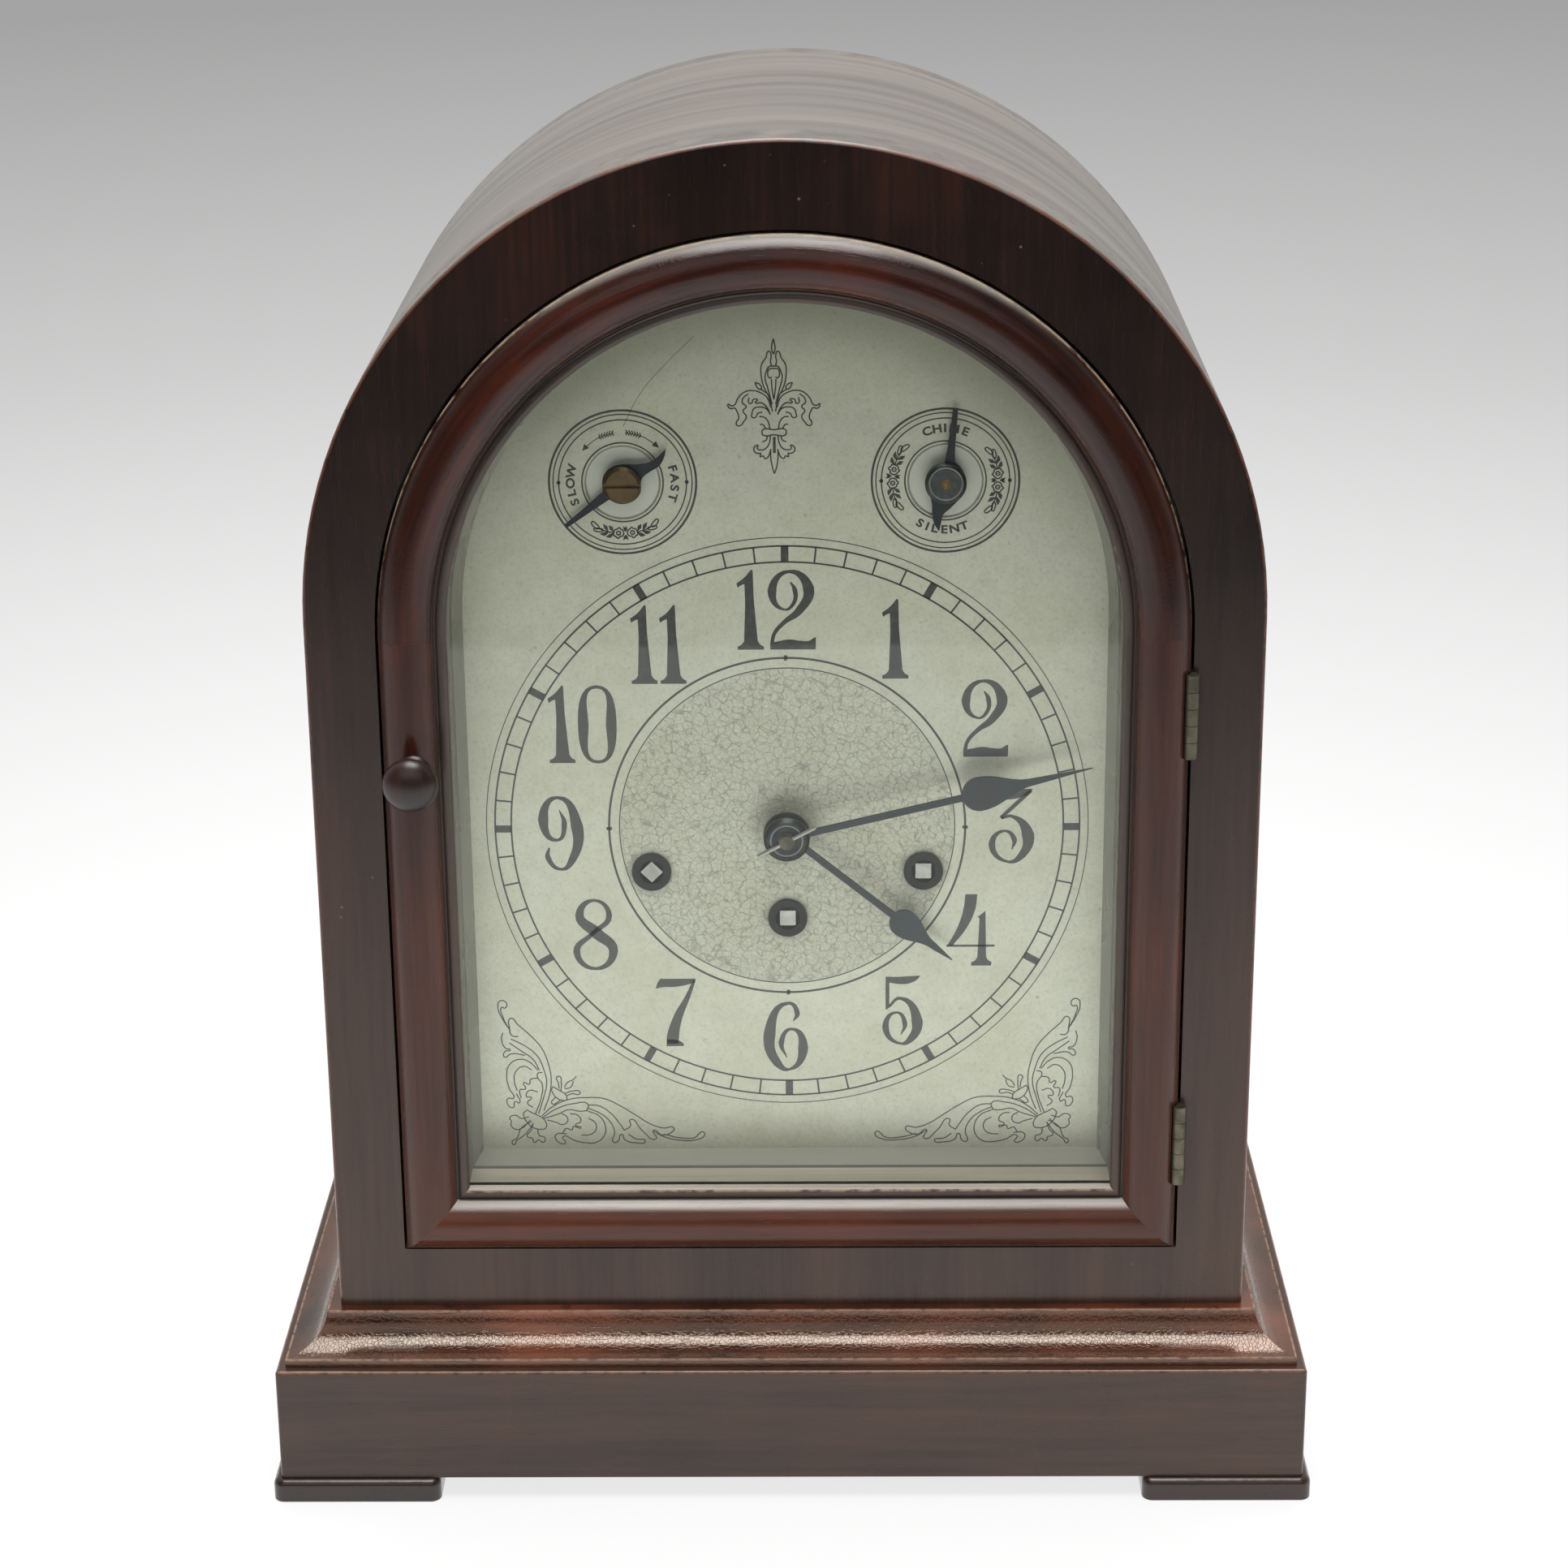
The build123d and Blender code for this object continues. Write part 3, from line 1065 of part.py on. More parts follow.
def barrel(place, towards, great_depth):
    """Hollow spring barrel with its great wheel, on its winding arbor."""
    inner = BARREL_RADIUS - BARREL_WALL
    bore = WINDER_RADIUS + RUNNING_FIT
    drum = turned(
        [
            (bore, BARREL_FRONT),
            (BARREL_RADIUS, BARREL_FRONT),
            (BARREL_RADIUS, BARREL_BACK),
            (bore, BARREL_BACK),
            (bore, BARREL_BACK - BARREL_END),
            (inner, BARREL_BACK - BARREL_END),
            (inner, BARREL_FRONT + BARREL_END),
            (bore, BARREL_FRONT + BARREL_END),
        ],
        place,
    )
    neck_front = min(great_depth, BARREL_BACK)
    neck_back = max(great_depth + GREAT_THICKNESS, BARREL_FRONT)
    end = great_wheel(place, towards, great_depth)
    if great_depth < BARREL_FRONT:
        end += rod(place, NECK_RADIUS, great_depth, neck_back)
    else:
        end += rod(place, NECK_RADIUS, neck_front, great_depth + GREAT_THICKNESS)
    return drum + (end - rod(place, bore, 0, CASE_DEPTH))


def winding_arbor(place, turn):
    """Arbor with a square for the key, its ratchet wheel and the hub inside the barrel."""
    hub_front = BARREL_FRONT + BARREL_END + RUNNING_FIT
    hub_back = BARREL_BACK - BARREL_END - RUNNING_FIT
    shoulder = BACK_PLATE_DEPTH - PINION_OVERHANG
    square = Pos(*place) * Rot(0, 0, turn) * Rectangle(WINDER_SQUARE, WINDER_SQUARE)
    arbor = slab(square, WINDER_FRONT, RATCHET_DEPTH)
    arbor += rod(place, WINDER_RADIUS, RATCHET_DEPTH, shoulder)
    arbor += rod(place, WINDER_HUB, hub_front, hub_back)
    arbor += rod(place, WINDER_PIVOT, shoulder, BACK_PLATE_BACK)
    ratchet = saw_face(RATCHET_TEETH, RATCHET_RADIUS, RATCHET_TOOTH)
    arbor += slab(Pos(*place) * ratchet, RATCHET_DEPTH, RATCHET_DEPTH + RATCHET_THICKNESS)
    return arbor


def click(place, towards):
    """Pawl beside a ratchet wheel, on its stud in the front plate."""
    pivot = shifted(place, polar(RATCHET_RADIUS + CLICK_LENGTH, towards))
    nose = shifted(place, polar(RATCHET_RADIUS + CLICK_GAP, towards))
    back = RATCHET_DEPTH + RATCHET_THICKNESS
    pawl = slab(bar(pivot, nose, CLICK_WIDTH), RATCHET_DEPTH, back)
    pawl += rod(pivot, CLICK_WIDTH, RATCHET_DEPTH, back)
    return pawl + rod(pivot, STUD_RADIUS, RATCHET_DEPTH, FRONT_PLATE_DEPTH)


def arbor_between(place, front, back):
    """Plain arbor between two shoulders, with a pivot in each plate."""
    shaft = rod(place, ARBOR_RADIUS, front, back)
    return shaft + rod(place, PIVOT_RADIUS, FRONT_PLATE_DEPTH, BACK_PLATE_BACK)


def crossed_wheel(teeth, module, towards, hub):
    """Face of a wheel with windows between its hub and its rim."""
    radius = teeth * module / 2
    return wheel_face(teeth, module, towards) - crossings(hub + HUB_RIM, radius - WHEEL_RIM)


def train_wheel(place, teeth, module, towards, depth):
    """Crossed-out wheel with a hub at a depth."""
    face = crossed_wheel(teeth, module, towards, HUB_RADIUS)
    wheel = slab(Pos(*place) * face, depth, depth + WHEEL_THICKNESS)
    return wheel + rod(place, HUB_RADIUS, depth - WHEEL_THICKNESS, depth + 2 * WHEEL_THICKNESS)


def train_pinion(place, teeth, module, towards, depth, thickness):
    """Pinion that overhangs the wheel which drives it."""
    face = pinion_face(teeth, module, towards)
    return slab(Pos(*place) * face, depth - PINION_OVERHANG, depth + thickness + PINION_OVERHANG)


def small_arbor(place, depth):
    """Arbor between the plates that is thin where its small pinion is cut."""
    front = FRONT_PLATE_BACK + PINION_OVERHANG
    back = BACK_PLATE_DEPTH - PINION_OVERHANG
    waist_front = depth - PINION_OVERHANG
    waist_back = depth + WHEEL_THICKNESS + PINION_OVERHANG
    shaft = rod(place, ARBOR_RADIUS, front, waist_front) + rod(place, ARBOR_RADIUS, waist_back, back)
    core = (TRAIN_PINION_TEETH / 2 - PINION_LEAF["dedendum"]) * TRAIN_MODULE
    shaft += rod(place, core, front, back)
    shaft += rod(place, PIVOT_RADIUS, FRONT_PLATE_DEPTH, front)
    return shaft + rod(place, PIVOT_RADIUS, back, BACK_PLATE_BACK)


def make_winding():
    """Three barrels with their winding arbors and clicks."""
    clicks = [
        click(GOING_WINDER, GOING_CLICK_ANGLE),
        click(STRIKE_WINDER, -SIDE_CLICK_ANGLE),
        click(CHIME_WINDER, SIDE_CLICK_ANGLE),
    ]
    return {
        "going_barrel": barrel(GOING_WINDER, direction(GOING_WINDER, HAND_CENTRE), GOING_GREAT_DEPTH),
        "strike_barrel": barrel(STRIKE_WINDER, direction(STRIKE_WINDER, STRIKE_ARBOR), SIDE_GREAT_DEPTH),
        "chime_barrel": barrel(CHIME_WINDER, direction(CHIME_WINDER, DRUM_ARBOR), SIDE_GREAT_DEPTH),
        "going_winding_arbor": winding_arbor(GOING_WINDER, 0.0),
        "strike_winding_arbor": winding_arbor(STRIKE_WINDER, STRIKE_SQUARE_ANGLE),
        "chime_winding_arbor": winding_arbor(CHIME_WINDER, 0.0),
        "clicks": group(clicks),
    }


def make_going_train():
    """Centre, third and escape wheels, and the motion work that carries the hands."""
    to_third = direction(HAND_CENTRE, THIRD_ARBOR)
    to_escape = direction(THIRD_ARBOR, ESCAPE_ARBOR)
    to_barrel = direction(HAND_CENTRE, GOING_WINDER)
    centre = rod(HAND_CENTRE, CENTRE_ARBOR, CENTRE_ARBOR_FRONT, BACK_PLATE_DEPTH - PINION_OVERHANG)
    centre += rod(HAND_CENTRE, PIVOT_RADIUS, CENTRE_DEPTH, BACK_PLATE_BACK)
    centre += train_pinion(
        HAND_CENTRE, GREAT_PINION_TEETH, GREAT_MODULE, to_barrel, GOING_GREAT_DEPTH, GREAT_THICKNESS
    )
    centre += train_wheel(HAND_CENTRE, CENTRE_TEETH, TRAIN_MODULE, to_third, CENTRE_DEPTH)
    centre -= hand_pin(PIN_RADIUS + FIXED_FIT)

    third = small_arbor(THIRD_ARBOR, CENTRE_DEPTH)
    third += train_pinion(
        THIRD_ARBOR, TRAIN_PINION_TEETH, TRAIN_MODULE, to_third + 180.0, CENTRE_DEPTH, WHEEL_THICKNESS
    )
    third += train_wheel(THIRD_ARBOR, THIRD_TEETH, TRAIN_MODULE, to_escape, THIRD_DEPTH)

    escape = small_arbor(ESCAPE_ARBOR, THIRD_DEPTH)
    escape += train_pinion(
        ESCAPE_ARBOR, TRAIN_PINION_TEETH, TRAIN_MODULE, to_escape + 180.0, THIRD_DEPTH, WHEEL_THICKNESS
    )
    escape_face = saw_face(ESCAPE_TEETH, ESCAPE_RADIUS, ESCAPE_TOOTH)
    escape_face -= crossings(HUB_RADIUS + HUB_RIM, ESCAPE_RADIUS - 2 * ESCAPE_TOOTH)
    escape_back = ESCAPE_DEPTH + WHEEL_THICKNESS
    escape += slab(Pos(*ESCAPE_ARBOR) * escape_face, ESCAPE_DEPTH, escape_back)
    escape += rod(ESCAPE_ARBOR, HUB_RADIUS, ESCAPE_DEPTH - WHEEL_THICKNESS, escape_back)

    to_stud = direction(HAND_CENTRE, MINUTE_STUD)
    cannon_face = pinion_face(CANNON_TEETH, MOTION_MODULE, to_stud)
    cannon_back = CANNON_DEPTH + WHEEL_THICKNESS + PINION_OVERHANG
    cannon = slab(Pos(*HAND_CENTRE) * cannon_face, CANNON_DEPTH - PINION_OVERHANG, cannon_back)
    cannon += rod(HAND_CENTRE, CANNON_PIPE, MINUTE_FRONT, FRONT_PLATE_DEPTH - PINION_OVERHANG)
    hour_back = HOUR_WHEEL_DEPTH + WHEEL_THICKNESS
    shoulder_front = hour_back + INDEX_PLAY
    cannon += rod(HAND_CENTRE, HOUR_PIPE, shoulder_front, CANNON_DEPTH - PINION_OVERHANG)
    cannon -= rod(HAND_CENTRE, CENTRE_ARBOR + RUNNING_FIT, 0, CASE_DEPTH)

    minute_face = crossed_wheel(MINUTE_TEETH, MOTION_MODULE, to_stud + 180.0, HUB_RADIUS)
    minute_wheel = slab(Pos(*MINUTE_STUD) * minute_face, CANNON_DEPTH, CANNON_DEPTH + WHEEL_THICKNESS)
    minute_pinion = pinion_face(MINUTE_PINION_TEETH, MOTION_MODULE, to_stud + 180.0)
    pinion_front = HOUR_WHEEL_DEPTH - PINION_OVERHANG
    minute_wheel += slab(Pos(*MINUTE_STUD) * minute_pinion, pinion_front, hour_back + PINION_OVERHANG)
    pipe_back = FRONT_PLATE_DEPTH - PINION_OVERHANG
    minute_wheel += rod(MINUTE_STUD, 2 * STUD_RADIUS, HOUR_WHEEL_DEPTH, pipe_back)
    minute_wheel -= rod(MINUTE_STUD, STUD_RADIUS + RUNNING_FIT, 0, CASE_DEPTH)

    hour_face = crossed_wheel(HOUR_TEETH, MOTION_MODULE, to_stud, HOUR_PIPE)
    hour_wheel = slab(Pos(*HAND_CENTRE) * hour_face, HOUR_WHEEL_DEPTH, hour_back)
    hour_wheel += rod(HAND_CENTRE, HOUR_PIPE, HOUR_FRONT, hour_back)
    hour_wheel -= rod(HAND_CENTRE, CANNON_PIPE + RUNNING_FIT, 0, CASE_DEPTH)
    return {
        "centre_wheel": centre,
        "third_wheel": third,
        "escape_wheel": escape,
        "cannon_pinion": cannon,
        "minute_wheel": minute_wheel,
        "hour_wheel": hour_wheel,
    }


def bob_section():
    """Half section of the bob: two shallow domes that meet at a thin edge."""
    crown = BOB_THICKNESS / 2
    edge = BOB_EDGE / 2
    curve = (BOB_RADIUS**2 + (crown - edge) ** 2) / (2 * (crown - edge))
    half_angle = math.asin(BOB_RADIUS / curve) / 2
    middle_radius = curve * math.sin(half_angle)
    middle_depth = crown - curve * (1 - math.cos(half_angle))
    outline = Line((0, -crown), (0, crown))
    outline += ThreePointArc((0, crown), (middle_radius, middle_depth), (BOB_RADIUS, edge))
    outline += Line((BOB_RADIUS, edge), (BOB_RADIUS, -edge))
    outline += ThreePointArc((BOB_RADIUS, -edge), (middle_radius, -middle_depth), (0, -crown))
    return make_face(outline)


def make_pendulum():
    """Pallet anchor with its crutch, the cock that carries it, and the pendulum."""
    reach = ESCAPE_RADIUS + PALLET_CLEARANCE
    drop = (0.0, ESCAPE_ARBOR[1] - ANCHOR_ARBOR[1])
    corners = [shifted(polar(reach + out, angle), drop) for out, angle in PALLET_ARM]
    corners = [(0, ANCHOR_HUB)] + corners + [(0, -ANCHOR_HUB / 2)]
    anchor_face = Circle(ANCHOR_HUB)
    for side in (-1, 1):
        anchor_face += make_face(Polyline(*[(side * x, z) for x, z in corners], close=True))
    anchor = slab(Pos(*ANCHOR_ARBOR) * anchor_face, ANCHOR_DEPTH, ANCHOR_DEPTH + ANCHOR_THICKNESS)
    anchor += rod(ANCHOR_ARBOR, ARBOR_RADIUS, FRONT_PLATE_BACK + PINION_OVERHANG, COCK_DEPTH - COCK_GAP)
    pivot_end = COCK_DEPTH + COCK_THICKNESS / 2
    anchor += rod(ANCHOR_ARBOR, PIVOT_RADIUS, FRONT_PLATE_DEPTH, pivot_end)
    crutch_end = shifted(ANCHOR_ARBOR, (0.0, -CRUTCH_LENGTH))
    fork_half = PENDULUM_ROD + INDEX_PLAY + CRUTCH_FORK
    crutch_face = bar(ANCHOR_ARBOR, crutch_end, CRUTCH_WIDTH) + Pos(*ANCHOR_ARBOR) * Circle(ANCHOR_HUB)
    crutch_face += Pos(*crutch_end) * Rectangle(2 * fork_half, FORK_HEIGHT)
    anchor += slab(crutch_face, CRUTCH_DEPTH, CRUTCH_DEPTH + CRUTCH_THICKNESS)
    for side in (-1, 1):
        prong_x = side * (fork_half - CRUTCH_FORK / 2)
        prong = Pos(*shifted(crutch_end, (prong_x, 0.0))) * Rectangle(CRUTCH_FORK, FORK_HEIGHT)
        anchor += slab(prong, CRUTCH_DEPTH, PENDULUM_DEPTH + 2 * PENDULUM_ROD)

    cock_face = RectangleRounded(2 * (COCK_POST + COCK_OVERHANG), 4 * ANCHOR_HUB, ANCHOR_HUB)
    cock = slab(Pos(*ANCHOR_ARBOR) * cock_face, COCK_DEPTH, COCK_BACK)
    for side in (-1, 1):
        post = shifted(ANCHOR_ARBOR, (side * COCK_POST, 0.0))
        cock += rod(post, ANCHOR_HUB, BACK_PLATE_BACK, COCK_DEPTH)
    cock -= rod(ANCHOR_ARBOR, PIVOT_RADIUS + RUNNING_FIT, COCK_DEPTH - COCK_GAP, pivot_end + COCK_GAP)
    block_half = SUSPENSION_BLOCK / 2
    block_front = PENDULUM_DEPTH - block_half
    block_back = PENDULUM_DEPTH + block_half
    cock += rod(ANCHOR_ARBOR, PIVOT_RADIUS, COCK_BACK, block_back + SUSPENSION_GAP)

    block = Pos(*ANCHOR_ARBOR) * Rectangle(2 * ANCHOR_HUB, 2 * ANCHOR_HUB)
    rod_piece = slab(block, block_front, block_back)
    rod_piece -= rod(ANCHOR_ARBOR, PIVOT_RADIUS + RUNNING_FIT, 0, CASE_DEPTH)
    strip_base = ANCHOR_ARBOR[1] - SUSPENSION_LENGTH
    strip_top = ANCHOR_ARBOR[1] - ANCHOR_HUB
    strip = Pos(0, (strip_base + strip_top) / 2) * Rectangle(SUSPENSION_STRIP, strip_top - strip_base)
    rod_piece += slab(strip, block_front, block_back)
    hanging = Pos(0, at_depth(PENDULUM_DEPTH), 0)
    stem_place = hanging * Pos(0, 0, (strip_base + PENDULUM_FOOT) / 2)
    rod_piece += stem_place * Cylinder(PENDULUM_ROD, strip_base - PENDULUM_FOOT)
    joint_block = Box(2 * ANCHOR_HUB, SUSPENSION_BLOCK, ANCHOR_HUB)
    rod_piece += hanging * Pos(0, 0, strip_base) * joint_block

    bore = PENDULUM_ROD + FIXED_FIT
    bob = revolve(bob_section(), axis=Axis.Y) - Cylinder(bore, 4 * BOB_RADIUS)
    bob = hanging * Pos(0, 0, BOB_Z) * bob
    nut = Cylinder(NUT_RADIUS, NUT_HEIGHT) - Cylinder(bore, 2 * NUT_HEIGHT)
    nut = hanging * Pos(0, 0, NUT_TOP - NUT_HEIGHT / 2) * nut
    return {
        "pallet_anchor": anchor,
        "back_cock": cock,
        "pendulum_rod": rod_piece,
        "pendulum_bob": bob,
        "rating_nut": nut,
    }


# Strike and chime
def make_chime():
    """Strike wheel, pinned chime drum, hammers on their rod and bridge, and the gong rods."""
    to_winder = direction(STRIKE_ARBOR, STRIKE_WINDER)
    front = FRONT_PLATE_BACK + PINION_OVERHANG
    back = BACK_PLATE_DEPTH - PINION_OVERHANG
    strike = arbor_between(STRIKE_ARBOR, front, back)
    strike += train_pinion(
        STRIKE_ARBOR, GREAT_PINION_TEETH, GREAT_MODULE, to_winder, SIDE_GREAT_DEPTH, GREAT_THICKNESS
    )
    disc_depth = SIDE_GREAT_DEPTH + 3 * GREAT_THICKNESS
    disc_back = disc_depth + WHEEL_THICKNESS
    strike += rod(STRIKE_ARBOR, STRIKE_DISC_RADIUS, disc_depth, disc_back)
    for number in range(STRIKE_PIN_COUNT):
        step = polar(STRIKE_DISC_RADIUS - STRIKE_PIN_INSET, 360.0 / STRIKE_PIN_COUNT * number)
        pin_end = disc_back + STRIKE_PIN_LENGTH
        strike += rod(shifted(STRIKE_ARBOR, step), DRUM_PIN_RADIUS, disc_depth, pin_end)

    tracks = [HAMMER_DEPTH + number * HAMMER_SPACING for number in range(HAMMER_COUNT)]
    drum_front = tracks[0] - HAMMER_SPACING / 2
    drum_back = tracks[-1] + HAMMER_SPACING / 2
    drum = rod(DRUM_ARBOR, ARBOR_RADIUS, front, BRIDGE_DEPTH - RUNNING_FIT)
    drum += rod(DRUM_ARBOR, PIVOT_RADIUS, FRONT_PLATE_DEPTH, BRIDGE_DEPTH + BRIDGE_THICKNESS)
    to_winder = direction(DRUM_ARBOR, CHIME_WINDER)
    drum += train_pinion(
        DRUM_ARBOR, GREAT_PINION_TEETH, GREAT_MODULE, to_winder, SIDE_GREAT_DEPTH, GREAT_THICKNESS
    )
    drum += rod(DRUM_ARBOR, DRUM_RADIUS, drum_front, drum_back)
    pin_length = DRUM_RADIUS + DRUM_PIN_HEIGHT
    for track, depth in enumerate(tracks):
        for number in range(DRUM_PIN_COUNT):
            angle = (number + track / HAMMER_COUNT) * 360.0 / DRUM_PIN_COUNT
            pin = Pos(0, 0, pin_length / 2) * Cylinder(DRUM_PIN_RADIUS, pin_length)
            drum += Pos(DRUM_ARBOR[0], at_depth(depth), DRUM_ARBOR[1]) * Rot(0, angle, 0) * pin

    bridge_face = Pos(*DRUM_ARBOR) * Circle(2 * BRIDGE_POST)
    for place in BRIDGE_POSTS + [HAMMER_PIVOT]:
        bridge_face += bar(DRUM_ARBOR, place, 2 * BRIDGE_POST) + Pos(*place) * Circle(BRIDGE_BOSS)
    bridge = slab(bridge_face, BRIDGE_DEPTH, BRIDGE_DEPTH + BRIDGE_THICKNESS)
    for place in BRIDGE_POSTS:
        bridge += rod(place, BRIDGE_POST, BACK_PLATE_BACK, BRIDGE_DEPTH)
    bridge -= rod(DRUM_ARBOR, PIVOT_RADIUS + RUNNING_FIT, 0, CASE_DEPTH)
    bridge -= rod(HAMMER_PIVOT, HAMMER_ROD + FIXED_FIT, 0, CASE_DEPTH)
    hammer_rod = rod(HAMMER_PIVOT, HAMMER_ROD, BACK_PLATE_DEPTH, BRIDGE_DEPTH + BRIDGE_THICKNESS)
    pieces = {"strike_wheel": strike, "chime_drum": drum, "chime_bridge": group([bridge, hammer_rod])}
    for number, depth in enumerate(tracks):
        pieces[f"hammer_{number + 1}"] = hammer(depth)

    block_run = tracks[-1] - tracks[0] + 2 * GONG_BLOCK_MARGIN
    block_middle = at_depth((tracks[0] + tracks[-1]) / 2)
    block_height = GONG_Z + GONG_BLOCK_ABOVE - CASE_BASE
    block_place = Pos(GONG_BLOCK_LEFT + GONG_BLOCK_WIDTH / 2, block_middle, CASE_BASE + block_height / 2)
    block = block_place * Box(GONG_BLOCK_WIDTH, block_run, block_height)
    gongs = []
    for depth, length in zip(tracks, GONG_LENGTHS):
        root = GONG_BLOCK_LEFT + GONG_SEAT
        lying = Pos(root - length / 2, at_depth(depth), GONG_Z) * Rot(0, 90, 0)
        gongs.append(lying * Cylinder(GONG_RADIUS, length))
        block -= lying * Cylinder(GONG_RADIUS + FIXED_FIT, length)
    pieces["gong_block"] = block
    pieces["gong_rods"] = group(gongs)
    return pieces


def hammer(depth):
    """Hammer with its collar on the hammer rod, its head above a gong and its tail by the drum."""
    head_base = GONG_Z + GONG_RADIUS + HAMMER_REST_GAP
    head_place = (GONG_BLOCK_LEFT - HAMMER_HEAD_ROOM, head_base + HAMMER_HEAD_HEIGHT / 2)
    tail_reach = DRUM_RADIUS + DRUM_PIN_HEIGHT + HAMMER_TAIL_GAP
    tail = shifted(DRUM_ARBOR, polar(tail_reach, HAMMER_TAIL_DIRECTION))
    face = bar(HAMMER_PIVOT, head_place, HAMMER_ARM) + bar(HAMMER_PIVOT, tail, HAMMER_ARM)
    half = HAMMER_ARM_THICKNESS / 2
    piece = slab(face, depth - half, depth + half)
    collar_half = HAMMER_COLLAR_LENGTH / 2
    piece += rod(HAMMER_PIVOT, HAMMER_COLLAR, depth - collar_half, depth + collar_half)
    piece -= rod(HAMMER_PIVOT, HAMMER_ROD + RUNNING_FIT, 0, CASE_DEPTH)
    head = Cylinder(HAMMER_HEAD_RADIUS, HAMMER_HEAD_HEIGHT)
    return piece + Pos(head_place[0], at_depth(depth), head_place[1]) * head


def make_all():
    """Every piece of the clock by name."""
    pieces = make_base()
    pieces |= make_case()
    pieces |= make_front_door()
    pieces |= make_hinges(FRONT_HINGES, "door_hinge_halves", "case_hinge_halves")
    pieces |= make_back_door()
    pieces |= make_hinges(BACK_HINGES, "back_door_hinge_halves", "back_case_hinge_halves")
    pieces |= make_dial()
    pieces |= make_hands()
    pieces |= make_frame()
    pieces |= make_winding()
    pieces |= make_going_train()
    pieces |= make_pendulum()
    pieces |= make_chime()
    return pieces


os.makedirs("parts", exist_ok=True)
for name, piece in make_all().items():
    export_step(piece, f"parts/{name}.step")
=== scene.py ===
"""Looks of a round-top chiming mantel clock: finishes, printed dial, hands, stage and camera."""

import logging
import math
from dataclasses import dataclass
from enum import Enum
from typing import Any, Iterable, Sequence

import bmesh
import bpy
from mathutils import Matrix, Vector

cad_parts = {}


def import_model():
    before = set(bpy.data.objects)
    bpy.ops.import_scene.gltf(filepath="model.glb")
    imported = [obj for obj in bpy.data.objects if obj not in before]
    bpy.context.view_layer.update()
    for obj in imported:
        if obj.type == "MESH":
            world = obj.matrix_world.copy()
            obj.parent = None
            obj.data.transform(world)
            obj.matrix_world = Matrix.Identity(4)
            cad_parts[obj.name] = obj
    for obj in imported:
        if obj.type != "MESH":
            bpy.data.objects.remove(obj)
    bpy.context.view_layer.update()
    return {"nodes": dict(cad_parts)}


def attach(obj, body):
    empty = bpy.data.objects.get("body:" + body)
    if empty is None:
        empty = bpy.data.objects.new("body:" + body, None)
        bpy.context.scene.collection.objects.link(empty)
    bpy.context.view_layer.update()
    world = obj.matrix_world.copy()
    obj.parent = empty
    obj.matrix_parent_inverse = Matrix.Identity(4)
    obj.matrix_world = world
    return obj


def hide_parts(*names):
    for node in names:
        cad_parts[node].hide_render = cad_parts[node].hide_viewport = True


LOG = logging.getLogger("mantel_clock")
MM = 0.001
IMAGE_SIDE = 1932

# Places and lengths on the clock, in millimetres
CASE_FRONT = -83.3
DIAL_FACE = CASE_FRONT + 21.0
HAND_CENTRE = (0.0, 190.4)
REGULATOR_CENTRE = (-43.5, 289.8)
CHIME_CENTRE = (43.5, 289.8)
WINDING_CENTRES = ((-38.0, 177.5), (0.0, 163.52), (38.0, 177.5))
ARCH_SPRING = 256.5
CASE_HALF = 128.85
DOOR_SPRING = 252.3
DOOR_HALF = 108.7
DOOR_BOTTOM = 71.7
PRINT_PROUD = 0.03
DIGIT_HEIGHT = 22.0
LETTER_HEIGHT = 3.15
LETTER_WEIGHT = 0.11
LETTER_DROP = 1.05
LETTER_WIDTH = 2.75

# Factors: of a letter's width, and of lengths along the grain, small so that its pattern is drawn out
LETTER_STRETCH = 1.18
GRAIN_PULL = 0.045
ARCH_GRAIN_PULL = 0.04

SPECK_TINT = (0.3, 0.25, 0.2)
GRIME_TINT = (0.07, 0.062, 0.053)

Colour = tuple[float, float, float]
Point = tuple[float, float]


class Grain(Enum):
    """Ways in which the grain of a wooden piece can run."""

    UPRIGHT = "upright"
    LEVEL = "level"
    ARCHED = "arched"
    DOOR = "door"


